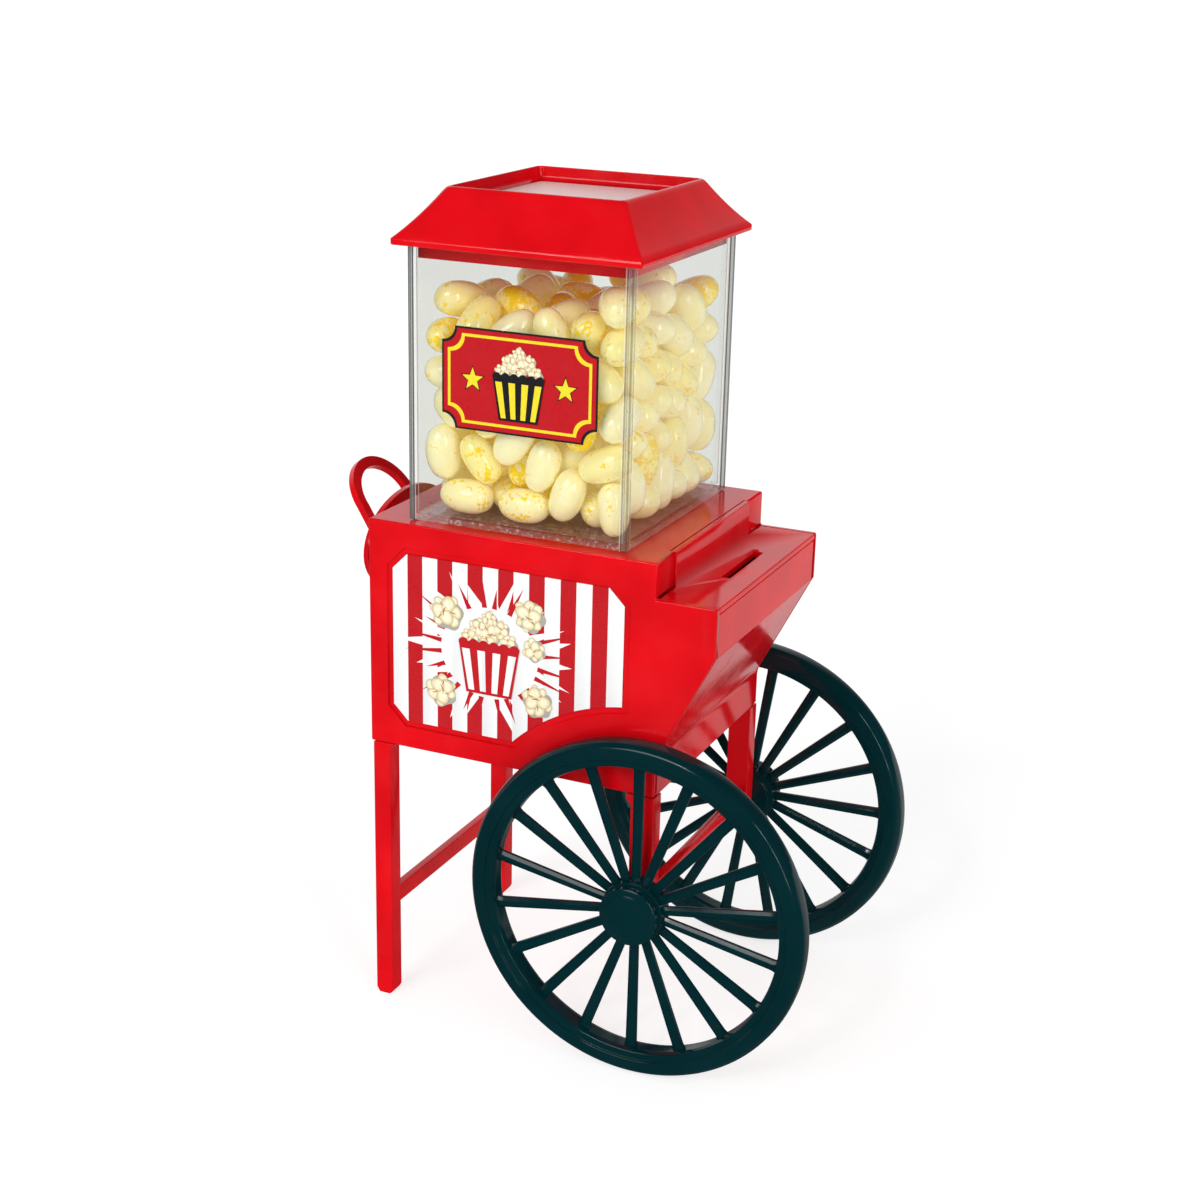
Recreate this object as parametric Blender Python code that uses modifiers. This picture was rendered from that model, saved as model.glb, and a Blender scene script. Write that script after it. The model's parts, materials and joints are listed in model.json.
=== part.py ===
"""Toy popcorn cart: a clear bean hopper on a red cart body with a coin bank.

The cart stands on two left legs and two spoked wheels.  +X runs from the crank
end to the ledge end, -Y is the near side with the striped sticker, +Z is up.
The origin is on the ground, at the centre of the whole cart's box.
"""
import math

import bmesh
import bpy
from mathutils import Matrix, Vector

MM = 0.001
GAP = 0.3 * MM            # space left between two pieces that touch
RUN_GAP = 0.08 * MM       # radial running clearance of a shaft

# Driving dimensions of the body, X counted from its left end face
BODY_DEPTH = 90.5 * MM
DECK_LENGTH = 98.6 * MM
LEDGE_LENGTH = 118.3 * MM
LOWER_FRONT_X = 100.1 * MM
DECK_Z = 168.0 * MM
LEDGE_Z = 156.6 * MM
LEDGE_FRONT_Z = 141.2 * MM
SLANT_BOTTOM_Z = 105.0 * MM
SLANT_FILLET = 2.0 * MM   # from the slant's bottom corner to where its fillet starts
BODY_BOTTOM_Z = 92.5 * MM
WALL = 2.0 * MM
FLANGE = 13.7 * MM        # front corner flanges beside the riser
RISER_PROUD = 0.7 * MM

# Wheels and axle
WHEEL_RADIUS = 56.45 * MM
WHEEL_HALF = 4.4 * MM
WHEEL_MID = 4.9 * MM      # from the side face out to the wheel's middle
AXLE_X = 97.3 * MM
AXLE_RADIUS = 1.5 * MM
PIN_IN = 5.0 * MM         # how far each axle pin goes into its leg
PIN_OUT = 11.2 * MM       # and how far it stands out of the side face
HUB_RADIUS = 10.2 * MM
SPOKES = 18
SPOKE_WIDTH = 3.8 * MM     # at the rim
SPOKE_HUB_END = 0.82       # size of a spoke's section at the hub beside that at the rim
SPOKE_DEPTH = 2.5 * MM
FAR_SPOKE_TURN = math.radians(8)   # the far wheel rests turned on by this
RIM_INNER = 48.0 * MM
CAP_RADIUS = 9.5 * MM
CAP_OUT = 13.2 * MM       # hub cap's outermost point, from the side face
CAP_ROOM = 2.0 * MM       # depth of the hollow that takes the pin's end

# Hopper, its fill and its lid
HOPPER_X = (12.4 * MM, 86.8 * MM)
HOPPER_MARGIN = 4.3 * MM
HOPPER_TOP = 256.2 * MM
GLASS = 2.0 * MM
FILL_GAP = 0.6 * MM
FILL_TOP = 246.5 * MM
OUTLET_RADIUS = 11.0 * MM
EAVE_X = 82.4 * MM
EAVE_Y = 88.7 * MM
EAVE_Z = 254.1 * MM
FASCIA = 1.9 * MM
RIM_X = 59.0 * MM
RIM_Y = 63.4 * MM
ROOF_TOP = 271.0 * MM
PAN_DEPTH = 4.8 * MM
PAN_STEP = 3.0 * MM       # depth of the small step in the pan's wall
LID_WALL = 1.3 * MM
SKIRT_BOTTOM = 250.0 * MM

# Legs and cross bars
LEG_X = 6.2 * MM
LEG_Y = 6.4 * MM
LEG_INSET = 0.5 * MM
LEG_CHAMFER = 1.6 * MM
LEG_PLUG = 4.0 * MM       # side of the square plug on top of each leg
PLUG_RISE = 8.0 * MM
REAR_LEG_X = (92.5 * MM, 100.2 * MM)
REAR_LEG_Y = 6.0 * MM
BAR_Z = (32.4 * MM, 38.4 * MM)
BAR_THICK = 3.0 * MM
AXLE_BAR_X = (96.9 * MM, 99.9 * MM)
AXLE_BAR_Z = (55.6 * MM, 61.6 * MM)

# Crank, shaft and rotor
CRANK_Z = 148.8 * MM
PLATE_X = -12.5 * MM      # outer face of the oval plate
PLATE_THICK = 1.9 * MM
PLATE_HALF_Y = 27.7 * MM
PLATE_HALF_Z = 16.8 * MM
LOOP_LEAN = math.radians(37.1)
LOOP_FOOT_X = -11.55 * MM
LOOP_FOOT_Z = 149.46 * MM
LOOP_WIDE = 16.2 * MM     # half width of the arch
LOOP_HIGH = 14.94 * MM    # height of the arch above its arms
LOOP_ARM = 14.32 * MM     # length of each arm, along the lean
LOOP_SPLAY = 0.14
LOOP_BAND = 3.74 * MM
LOOP_THICK = 2.3 * MM
NECK_RADIUS = 7.0 * MM
WEB = 2.0 * MM            # plate left in front of the shaft's bore
SHAFT_RADIUS = 2.5 * MM
ROTOR_RADIUS = 13.0 * MM
ROTOR_X = (37.0 * MM, 61.5 * MM)
HOUSING_X = (34.6 * MM, 62.2 * MM)
HOUSING_HALF = 16.6 * MM
HOUSING_BOTTOM = 133.6 * MM
COVER_THICK = 1.8 * MM
DIVIDER_X = 68.0 * MM
CHUTE_WIDE = 26.0 * MM
CHUTE_WALL = 1.5 * MM
CHUTE_HIGH = 10.0 * MM
CHUTE_LENGTH = 66.0 * MM
CHUTE_SLOPE = math.radians(21.0)
MOUTH_Z = (98.6 * MM, 120.0 * MM)

# Base, bank and small parts
BASE_Z = (94.6 * MM, 96.6 * MM)
STOPPER_X = 82.6 * MM
STOPPER_RADIUS = 13.2 * MM
STOPPER_FLANGE = 1.8 * MM
SLOT = (107.6 * MM, 110.6 * MM, 30.0 * MM)   # X from, X to, length in Y
SCREW_X = (13.0 * MM, 86.0 * MM)
SCREW_Y = 36.0 * MM
STICKER_X = (8.7 * MM, 88.6 * MM)
STICKER_Z = (101.9 * MM, 158.0 * MM)
STICKER_CUT = 5.1 * MM     # legs of its corner chamfers
STICKER_ARCH = 64.6 * MM
STICKER_THICK = 0.2 * MM
POCKET_MARGIN = 2.1 * MM
POCKET_DEPTH = 0.6 * MM
BADGE_X = 52.0 * MM
BADGE_Z = 31.5 * MM
BADGE_CENTRE = (50.6 * MM, 215.6 * MM)
BADGE_THICK = 0.3 * MM

# Places worked out from the driving dimensions
HALF = BODY_DEPTH / 2
HUB_FACE = 2 * WHEEL_MID - GAP
LOOP_RISE = LOOP_ARM + LOOP_HIGH
LOOP_TIP_X = LOOP_FOOT_X - LOOP_RISE * math.sin(LOOP_LEAN) - LOOP_THICK / 2 * math.cos(LOOP_LEAN)
LEFT = -(AXLE_X + WHEEL_RADIUS + LOOP_TIP_X) / 2
HOPPER_MID = (HOPPER_X[0] + HOPPER_X[1]) / 2
HOPPER_HALF_Y = HALF - HOPPER_MARGIN
HOPPER_HALF_X = (HOPPER_X[1] - HOPPER_X[0]) / 2

RED = (0.72, 0.010, 0.018)
TEAL = (0.003, 0.030, 0.036)
CLEAR = (0.86, 0.90, 0.90)
BEAN = (0.90, 0.84, 0.52)
WHITE = (0.88, 0.86, 0.84)
STEEL = (0.60, 0.60, 0.61)
BLACK = (0.02, 0.02, 0.022)

MERGE = 0.01 * MM         # points closer than this become one
SHARP_ANGLE = math.radians(35)
UPRIGHT = (math.radians(90), 0.0, 0.0)                   # outline X stays X, outline Y becomes Z
FACING_X = (math.radians(90), 0.0, math.radians(90))     # outline X becomes Y, outline Y becomes Z
POINTING = {"X": (0.0, math.radians(90), 0.0), "Y": (math.radians(-90), 0.0, 0.0),
            "-Y": (math.radians(90), 0.0, 0.0), "Z": (0.0, 0.0, 0.0)}


def remove_everything():
    for obj in list(bpy.data.objects):
        bpy.data.objects.remove(obj, do_unlink=True)


def collection(name):
    made = bpy.data.collections.new(name)
    bpy.context.scene.collection.children.link(made)
    return made


def material(name, color, roughness, metallic=0.0, alpha=1.0):
    made = bpy.data.materials.new(name)
    made.use_nodes = True
    shader = made.node_tree.nodes["Principled BSDF"]
    shader.inputs["Base Color"].default_value = (*color, 1.0)
    shader.inputs["Roughness"].default_value = roughness
    shader.inputs["Metallic"].default_value = metallic
    shader.inputs["Alpha"].default_value = alpha
    return made


def at(x, y, z):
    """A point given from the body's left end face, its middle plane and the ground."""
    return Vector((LEFT + x, y, z))


def put(name, mesh, where=(0.0, 0.0, 0.0)):
    obj = bpy.data.objects.new(name, mesh)
    PARTS.objects.link(obj)
    obj.location = where
    return obj


def paint(obj, mat):
    obj.data.materials.clear()
    obj.data.materials.append(mat)
    obj.data.shade_smooth()
    obj.data.set_sharp_from_angle(angle=SHARP_ANGLE)
    return obj


def mesh_from(name, bm):
    bmesh.ops.recalc_face_normals(bm, faces=bm.faces)
    mesh = bpy.data.meshes.new(name)
    bm.to_mesh(mesh)
    bm.free()
    return mesh


def box(name, low, high):
    """A box between two corners given as at() takes them."""
    bm = bmesh.new()
    bmesh.ops.create_cube(bm, size=1.0)
    size = [high[i] - low[i] for i in range(3)]
    middle = [(high[i] + low[i]) / 2 for i in range(3)]
    bmesh.ops.scale(bm, vec=size, verts=bm.verts)
    return put(name, mesh_from(name, bm), at(*middle))


def cylinder(name, radius, length, centre, axis="Z", sides=32):
    """A cylinder centred on a point, its length along the axis."""
    bm = bmesh.new()
    bmesh.ops.create_cone(bm, cap_ends=True, segments=sides, radius1=radius, radius2=radius,
                          depth=length)
    turn = {"X": Matrix.Rotation(math.radians(90), 3, "Y"),
            "Y": Matrix.Rotation(math.radians(-90), 3, "X"),
            "Z": Matrix.Identity(3)}[axis]
    bmesh.ops.rotate(bm, cent=(0, 0, 0), matrix=turn, verts=bm.verts)
    return put(name, mesh_from(name, bm), at(*centre))


def bevel(obj, width, segments=2, angle=40.0):
    mod = obj.modifiers.new("rounded edges", "BEVEL")
    mod.width = width
    mod.segments = segments
    mod.limit_method = "ANGLE"
    mod.angle_limit = math.radians(angle)
    return obj


def bake(obj):
    """Turn an object's modifiers or its curve into a plain welded mesh."""
    bpy.context.view_layer.update()
    graph = bpy.context.evaluated_depsgraph_get()
    mesh = bpy.data.meshes.new_from_object(obj.evaluated_get(graph))
    bm = bmesh.new()
    bm.from_mesh(mesh)
    bmesh.ops.remove_doubles(bm, verts=bm.verts, dist=MERGE)
    bm.to_mesh(mesh)
    bm.free()
    made = bpy.data.objects.new(obj.name, mesh)
    obj.users_collection[0].objects.link(made)
    made.matrix_world = obj.matrix_world.copy()
    name = obj.name
    bpy.data.objects.remove(obj, do_unlink=True)
    made.name = name
    return made


def combine(obj, other, operation):
    """Cut, join or keep the shared part; the other shape goes to the cutters."""
    for owner in list(other.users_collection):
        owner.objects.unlink(other)
    CUTTERS.objects.link(other)
    other.hide_render = True
    other.display_type = "WIRE"
    mod = obj.modifiers.new(operation.lower(), "BOOLEAN")
    mod.operation = operation
    mod.solver = "EXACT"
    mod.object = other
    return obj


def cut(obj, *others):
    for other in others:
        combine(obj, other, "DIFFERENCE")
    return obj


def join(obj, *others):
    for other in others:
        combine(obj, other, "UNION")
    return obj


def outline(name, points, thickness, centre, turn):
    """A flat outline drawn in its own XY plane, given a thickness and turned into place."""
    curve = bpy.data.curves.new(name, "CURVE")
    curve.dimensions = "2D"
    curve.fill_mode = "BOTH"
    curve.extrude = thickness / 2
    spline = curve.splines.new("POLY")
    spline.points.add(len(points) - 1)
    for point, place in zip(spline.points, points):
        point.co = (place[0], place[1], 0.0, 1.0)
    spline.use_cyclic_u = True
    obj = put(name, curve, centre)
    obj.rotation_euler = turn
    return bake(obj)


def turned(name, profile, sides, centre, axis="Z"):
    """A turned shape; the profile is (radius, height) down its outer side.

    The profile's height points the way the axis says.
    """
    bm = bmesh.new()
    verts = [bm.verts.new((r, 0.0, h)) for r, h in profile]
    for first, second in zip(verts, verts[1:]):
        bm.edges.new((first, second))
    mesh = bpy.data.meshes.new(name)
    bm.to_mesh(mesh)
    bm.free()
    obj = put(name, mesh, at(*centre))
    mod = obj.modifiers.new("turn", "SCREW")
    mod.steps = sides
    mod.render_steps = sides
    mod.use_merge_vertices = True
    mod.merge_threshold = MERGE
    mod.use_smooth_shade = True
    obj.rotation_euler = POINTING[axis]
    return bake(obj)


def arc(centre, radius, start, end, steps):
    """Points of an arc, angles in degrees."""
    points = []
    for i in range(steps + 1):
        angle = math.radians(start + (end - start) * i / steps)
        points.append((centre[0] + radius * math.cos(angle), centre[1] + radius * math.sin(angle)))
    return points


def loft(name, rings):
    """A closed solid through rings of corners with equal counts."""
    bm = bmesh.new()
    rows = [[bm.verts.new(point) for point in ring] for ring in rings]
    count = len(rows[0])
    for low, high in zip(rows, rows[1:]):
        for i in range(count):
            j = (i + 1) % count
            bm.faces.new((low[i], low[j], high[j], high[i]))
    bm.faces.new(rows[-1])
    bm.faces.new(reversed(rows[0]))
    return put(name, mesh_from(name, bm))


def rounded_rectangle(half_x, half_y, radius, steps=3):
    points = []
    for sign_x, sign_y, start in ((1, 1, 0), (-1, 1, 90), (-1, -1, 180), (1, -1, 270)):
        centre = (sign_x * (half_x - radius), sign_y * (half_y - radius))
        points += arc(centre, radius, start, start + 90, steps)
    return points


# ---------------------------------------------------------------- body

def slant_angle():
    """Lean of the slanted underside away from upright."""
    return math.atan2(LEDGE_LENGTH - LOWER_FRONT_X, LEDGE_FRONT_Z - SLANT_BOTTOM_Z)


def slant_fillet(inwards):
    """Points up the fillet between the lower front and the slant, moved into the body."""
    radius = SLANT_FILLET / math.tan(slant_angle() / 2)
    centre = (LOWER_FRONT_X + radius, SLANT_BOTTOM_Z - SLANT_FILLET)
    return arc(centre, radius + inwards, 180, 180 - math.degrees(slant_angle()), 5)


def side_profile():
    """Outline of the cart body seen from the near side, from the left end face."""
    return [(0.0, BODY_BOTTOM_Z), (LOWER_FRONT_X, BODY_BOTTOM_Z), *slant_fillet(0.0),
            (LEDGE_LENGTH, LEDGE_FRONT_Z), (LEDGE_LENGTH, LEDGE_Z), (DECK_LENGTH, LEDGE_Z),
            (DECK_LENGTH, DECK_Z), (0.0, DECK_Z)]


def sticker_outline(margin):
    """Rectangle with chamfered corners and an arch that follows the wheel, grown evenly by a margin."""
    left = STICKER_X[0] - margin
    right = STICKER_X[1] + margin
    low = STICKER_Z[0] - margin
    high = STICKER_Z[1] + margin
    cut = STICKER_CUT + margin * (2 - math.sqrt(2))
    arch = STICKER_ARCH - margin
    wheel = (AXLE_X, WHEEL_RADIUS)
    begin = math.degrees(math.acos((right - wheel[0]) / arch))
    end = 180.0 - math.degrees(math.asin((low - wheel[1]) / arch))
    return [(left, low + cut), (left + cut, low), *arc(wheel, arch, end, begin, 12),
            (right, high - cut), (right - cut, high), (left + cut, high), (left, high - cut)]


def sticker_place(side):
    """World Y of a sticker's middle plane; it lies just below the side face."""
    return side * (HALF - POCKET_DEPTH + GAP + STICKER_THICK / 2)


def body_shell():
    shell = outline("body_shell", side_profile(), BODY_DEPTH, at(0, 0, 0), UPRIGHT)
    bevel(shell, 0.7 * MM, 2)
    shell = bake(shell)
    inner = HALF - WALL
    deep = BODY_BOTTOM_Z - 10 * MM
    wall_x = DECK_LENGTH - WALL
    ledge_under = LEDGE_Z - WALL - GAP
    riser = HALF - FLANGE
    cut(shell,
        box("shell_room", (WALL, -inner, deep), (wall_x, inner, DECK_Z - WALL)),
        box("shell_front_room", (wall_x - MM, -inner, deep), (LEDGE_LENGTH + 9 * MM, inner, ledge_under)),
        box("shell_ledge_room", (DECK_LENGTH + 0.01 * MM, -inner, ledge_under - MM),
            (LEDGE_LENGTH + 9 * MM, inner, LEDGE_Z + 9 * MM)),
        box("shell_riser_notch", (DECK_LENGTH - 1.7 * MM, -riser, ledge_under - MM),
            (DECK_LENGTH + 9 * MM, riser, DECK_Z + MM)),
        cylinder("shell_outlet", OUTLET_RADIUS, 9 * MM, (HOPPER_MID, 0, DECK_Z)),
        cylinder("shell_shaft_hole", SHAFT_RADIUS + RUN_GAP, 9 * MM, (0, 0, CRANK_Z), "X", 24),
        box("shell_mouth", (-MM, -CHUTE_WIDE / 2 - GAP, MOUTH_Z[0] - GAP),
            (WALL + MM, CHUTE_WIDE / 2 + GAP, MOUTH_Z[1])))
    for side in (-1, 1):
        pocket = outline("shell_pocket", sticker_outline(POCKET_MARGIN), 2 * POCKET_DEPTH,
                         at(0, side * HALF, 0), UPRIGHT)
        cut(shell, pocket)
    for x in SCREW_X:
        for side in (-1, 1):
            low = (x - 4 * MM, min(side * SCREW_Y - 4 * MM, side * (inner + MM)), BASE_Z[1] + GAP)
            high = (x + 4 * MM, max(side * SCREW_Y + 4 * MM, side * (inner + MM)), BASE_Z[1] + 14 * MM)
            join(shell, box("shell_boss", low, high))
    for x in SCREW_X:
        for side in (-1, 1):
            cut(shell, cylinder("shell_boss_hole", 1.3 * MM, 10 * MM,
                                (x, side * SCREW_Y, BASE_Z[1] + 4 * MM), sides=12))
    return paint(shell, RED_PLASTIC)


def ledge_cover():
    """Riser behind the ledge and the ledge's top, with the coin slot."""
    edge = HALF - WALL - GAP
    riser = HALF - FLANGE - GAP
    back = DECK_LENGTH - 1.7 * MM + GAP
    under = LEDGE_Z - WALL
    cover = box("ledge_cover", (DECK_LENGTH + GAP, -edge, under), (LEDGE_LENGTH, edge, LEDGE_Z))
    bevel(cover, 0.4 * MM, 2)
    cover = bake(cover)
    standing = box("cover_riser", (back, -riser, under), (DECK_LENGTH + RISER_PROUD, riser, DECK_Z))
    bevel(standing, 0.3 * MM, 2)
    join(cover, bake(standing))
    cut(cover, box("cover_slot", (SLOT[0], -SLOT[2] / 2, under - MM), (SLOT[1], SLOT[2] / 2, LEDGE_Z + MM)))
    return paint(cover, RED_PLASTIC)


def front_panel():
    """One bent sheet: vertical front, slanted underside, lower front."""
    top = LEDGE_Z - WALL - GAP
    lip = 0.25 * MM       # the cover's edge stands proud of the sheet
    front = LEDGE_LENGTH - lip
    bend = LEDGE_FRONT_Z - lip / math.tan(slant_angle())
    turn = WALL * math.tan(slant_angle() / 2)
    points = [(LOWER_FRONT_X, BODY_BOTTOM_Z), *slant_fillet(0.0), (front, bend), (front, top),
              (front - WALL, top), (front - WALL, bend + turn), *reversed(slant_fillet(WALL)),
              (LOWER_FRONT_X - WALL, BODY_BOTTOM_Z)]
    edge = HALF - WALL - GAP
    panel = outline("front_panel", points, 2 * edge, at(0, 0, 0), UPRIGHT)
    bevel(panel, 0.3 * MM, 2, 20)
    return paint(panel, RED_PLASTIC)


def base_plate():
    edge = HALF - WALL - GAP
    plate = box("base_plate", (WALL + GAP, -edge, BASE_Z[0]),
                (LOWER_FRONT_X - WALL - GAP, edge, BASE_Z[1]))
    cut(plate, cylinder("base_bank_hole", STOPPER_RADIUS + 0.4 * MM, 9 * MM,
                        (STOPPER_X, 0, BASE_Z[0]), sides=40))
    for x in SCREW_X:
        for side in (-1, 1):
            cut(plate, cylinder("base_screw_hole", 1.6 * MM, 9 * MM,
                                (x, side * SCREW_Y, BASE_Z[0]), sides=16))
    for x, y in plug_places():
        room = LEG_PLUG / 2 + GAP
        cut(plate, box("base_plug_hole", (x - room, y - room, BASE_Z[0] - 9 * MM),
                       (x + room, y + room, BASE_Z[1] + 9 * MM)))
    return paint(plate, RED_PLASTIC)


def bank_divider():
    """Wall between the dispenser and the coin bank; it carries the shaft's end."""
    edge = HALF - WALL - GAP
    wall = box("bank_divider", (DIVIDER_X - WALL, -edge, BASE_Z[1] + GAP),
               (DIVIDER_X, edge, DECK_Z - WALL - GAP))
    cut(wall, cylinder("divider_hole", SHAFT_RADIUS + RUN_GAP, 9 * MM, (DIVIDER_X, 0, CRANK_Z), "X", 24))
    return paint(wall, RED_PLASTIC)


def bank_stopper():
    """Soft plug pushed into the base from below, with a finger groove."""
    top = BASE_Z[1] + 2.2 * MM
    low = BODY_BOTTOM_Z + 0.4 * MM
    flange = BASE_Z[0] - GAP
    r = STOPPER_RADIUS
    profile = [(0.0, top), (r - 0.8 * MM, top), (r, top - 0.8 * MM), (r, flange),
               (r + STOPPER_FLANGE, flange), (r + STOPPER_FLANGE, low), (6.0 * MM, low),
               (4.5 * MM, low + 1.6 * MM), (0.0, low + 1.6 * MM)]
    stopper = turned("bank_stopper", profile, 40, (STOPPER_X, 0, 0))
    return paint(stopper, SOFT_BLACK)


def screw(name, head_radius, head, shank_radius, shank, centre, axis):
    """Pan head with a cross recess; the shank goes up the axis from the head."""
    profile = [(0.0, shank), (shank_radius, shank), (shank_radius, 0.0), (head_radius, 0.0),
               (head_radius, -head * 0.5), (head_radius * 0.7, -head), (0.0, -head)]
    body = turned(name, profile, 16, centre, axis)
    arm = head_radius * 0.6
    for long, short in ((arm, arm / 4), (arm / 4, arm)):
        if axis == "Z":
            low = (centre[0] - long, centre[1] - short, centre[2] - head - MM)
            high = (centre[0] + long, centre[1] + short, centre[2] - head * 0.45)
        else:
            low = (centre[0] - head - MM, centre[1] - long, centre[2] - short)
            high = (centre[0] - head * 0.45, centre[1] + long, centre[2] + short)
        cut(body, box(name + "_recess", low, high))
    return paint(body, STEEL_METAL)


def base_screws():
    number = 0
    for x in SCREW_X:
        for side in (-1, 1):
            number += 1
            screw("base_screw_%d" % number, 2.5 * MM, 1.5 * MM, 1.0 * MM, 9.0 * MM,
                  (x, side * SCREW_Y, BASE_Z[0] - GAP), "Z")


def sticker(name, side):
    flat = outline(name, sticker_outline(0.0), STICKER_THICK, at(0, sticker_place(side), 0), UPRIGHT)
    return paint(flat, STICKER_PAPER)


# ---------------------------------------------------------------- legs

def plug_places():
    """Where each leg's plug goes up through the base plate."""
    left = LEG_INSET + LEG_X / 2 + 1.6 * MM
    right = (REAR_LEG_X[0] + REAR_LEG_X[1]) / 2 - 2.4 * MM
    y = HALF - WALL - LEG_PLUG / 2 - 0.6 * MM
    return [(left, -y), (left, y), (right, -y), (right, y)]


def front_leg_outline():
    """Leg to the ground: gusset at the top, chamfered foot."""
    left = LEG_INSET
    right = LEG_INSET + LEG_X
    top = BODY_BOTTOM_Z - GAP
    gusset = 2.0 * MM
    c = LEG_CHAMFER
    return [(left, c), (left + c * 0.6, 0.0), (right - c * 0.6, 0.0), (right, c),
            (right, top - gusset), (right + gusset, top), (left, top)]


def rear_leg_outline():
    """Leg that ends round the axle: gusset at the top, rounded end."""
    left, right = REAR_LEG_X
    top = BODY_BOTTOM_Z - GAP
    step = 1.6 * MM
    half = (right - left) / 2
    points = [(left - step, top), (left - step, top - step), (left, top - 2 * step)]
    points += arc(((left + right) / 2, WHEEL_RADIUS), half, 180, 360, 10)
    points.append((right, top))
    return points


def leg(name, points, depth, side, inset, plug, takes_pin):
    """A leg as an upright outline, with a square plug that goes up into the body."""
    y = side * (HALF - inset - depth / 2)
    made = outline(name, points, depth, at(0, y, 0), UPRIGHT)
    bevel(made, 0.35 * MM, 1)
    made = bake(made)
    half = LEG_PLUG / 2
    top = BODY_BOTTOM_Z
    join(made, box(name + "_plug", (plug[0] - half, plug[1] - half, top - MM),
                   (plug[0] + half, plug[1] + half, top + PLUG_RISE)))
    if takes_pin:
        deep = PIN_IN + 0.2 * MM
        cut(made, cylinder(name + "_hole", AXLE_RADIUS + 0.05 * MM, deep + MM,
                           (AXLE_X, side * (HALF - deep / 2 + MM / 2), WHEEL_RADIUS), "Y", 24))
    return paint(made, RED_PLASTIC)


def legs():
    plugs = plug_places()
    leg("near_front_leg", front_leg_outline(), LEG_Y, -1, LEG_INSET, plugs[0], False)
    leg("far_front_leg", front_leg_outline(), LEG_Y, 1, LEG_INSET, plugs[1], False)
    leg("near_axle_leg", rear_leg_outline(), REAR_LEG_Y, -1, 0.0, plugs[2], True)
    leg("far_axle_leg", rear_leg_outline(), REAR_LEG_Y, 1, 0.0, plugs[3], True)


def leg_stretcher():
    edge = HALF - LEG_INSET - LEG_Y - GAP
    right = LEG_INSET + LEG_X - 0.3 * MM
    bar = box("leg_stretcher", (right - BAR_THICK, -edge, BAR_Z[0]), (right, edge, BAR_Z[1]))
    bevel(bar, 0.3 * MM, 1)
    return paint(bar, RED_PLASTIC)


def axle_stretcher():
    edge = HALF - REAR_LEG_Y - GAP
    bar = box("axle_stretcher", (AXLE_BAR_X[0], -edge, AXLE_BAR_Z[0]), (AXLE_BAR_X[1], edge, AXLE_BAR_Z[1]))
    bevel(bar, 0.3 * MM, 1)
    return paint(bar, RED_PLASTIC)


# ---------------------------------------------------------------- wheels

def axle_pin(name, side):
    """Stub pin pressed into a leg from outside; the wheel runs on it."""
    middle = side * (HALF + (PIN_OUT - PIN_IN) / 2)
    pin = cylinder(name, AXLE_RADIUS, PIN_OUT + PIN_IN, (AXLE_X, middle, WHEEL_RADIUS), "Y", 24)
    bevel(pin, 0.3 * MM, 1)
    return paint(pin, STEEL_METAL)


def wheel_profile():
    """Rim section: crowned tread, rounded shoulders, a step at the inner edge."""
    r = WHEEL_RADIUS
    w = WHEEL_HALF
    half = [(r, 0.35), (r - 0.25 * MM, 0.62), (r - 0.8 * MM, 0.86), (r - 1.7 * MM, 1.0),
            (RIM_INNER + 2.6 * MM, 1.0), (RIM_INNER + 2.1 * MM, 0.84), (RIM_INNER + 0.4 * MM, 0.78),
            (RIM_INNER, 0.66)]
    outer = [(radius, part * w) for radius, part in reversed(half)]
    inner = [(radius, -part * w) for radius, part in half]
    return outer + inner + [outer[0]]


def hub_profile():
    """Hub with a step on each face and a running bore for the axle."""
    w = WHEEL_MID - GAP
    bore = AXLE_RADIUS + RUN_GAP
    return [(bore, w), (HUB_RADIUS - 1.2 * MM, w), (HUB_RADIUS - 1.2 * MM, w - 1.2 * MM),
            (HUB_RADIUS, w - 1.6 * MM), (HUB_RADIUS, -w + 1.6 * MM), (HUB_RADIUS - 1.2 * MM, -w + 1.2 * MM),
            (HUB_RADIUS - 1.2 * MM, -w), (bore, -w), (bore, w)]


def spokes(name, y, start):
    """All spokes of one wheel as separate tapered bars in one mesh; start turns the set."""
    inner = HUB_RADIUS - 0.7 * MM
    outer = RIM_INNER + 0.6 * MM
    bm = bmesh.new()
    for i in range(SPOKES):
        turn = Matrix.Rotation(start + math.tau * i / SPOKES, 4, "Y")
        place = turn @ Matrix.Translation((0.0, 0.0, (inner + outer) / 2))
        shape = Matrix.Diagonal((SPOKE_WIDTH / 2, SPOKE_DEPTH / 2, 1.0, 1.0))
        bmesh.ops.create_cone(bm, cap_ends=True, segments=8, radius1=SPOKE_HUB_END, radius2=1.0,
                              depth=outer - inner, matrix=place @ shape)
    return put(name, mesh_from(name, bm), at(AXLE_X, y, WHEEL_RADIUS))


def wheel(name, side):
    y = side * (HALF + WHEEL_MID)
    made = turned(name, wheel_profile(), 60, (AXLE_X, y, WHEEL_RADIUS), "Y")
    hub = turned(name + "_hub", hub_profile(), 36, (AXLE_X, y, WHEEL_RADIUS), "Y")
    bars = spokes(name + "_spokes", y, FAR_SPOKE_TURN if side > 0 else 0.0)
    join(bars, hub)
    join(made, bake(bars))
    return paint(made, WHEEL_PLASTIC)


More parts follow.
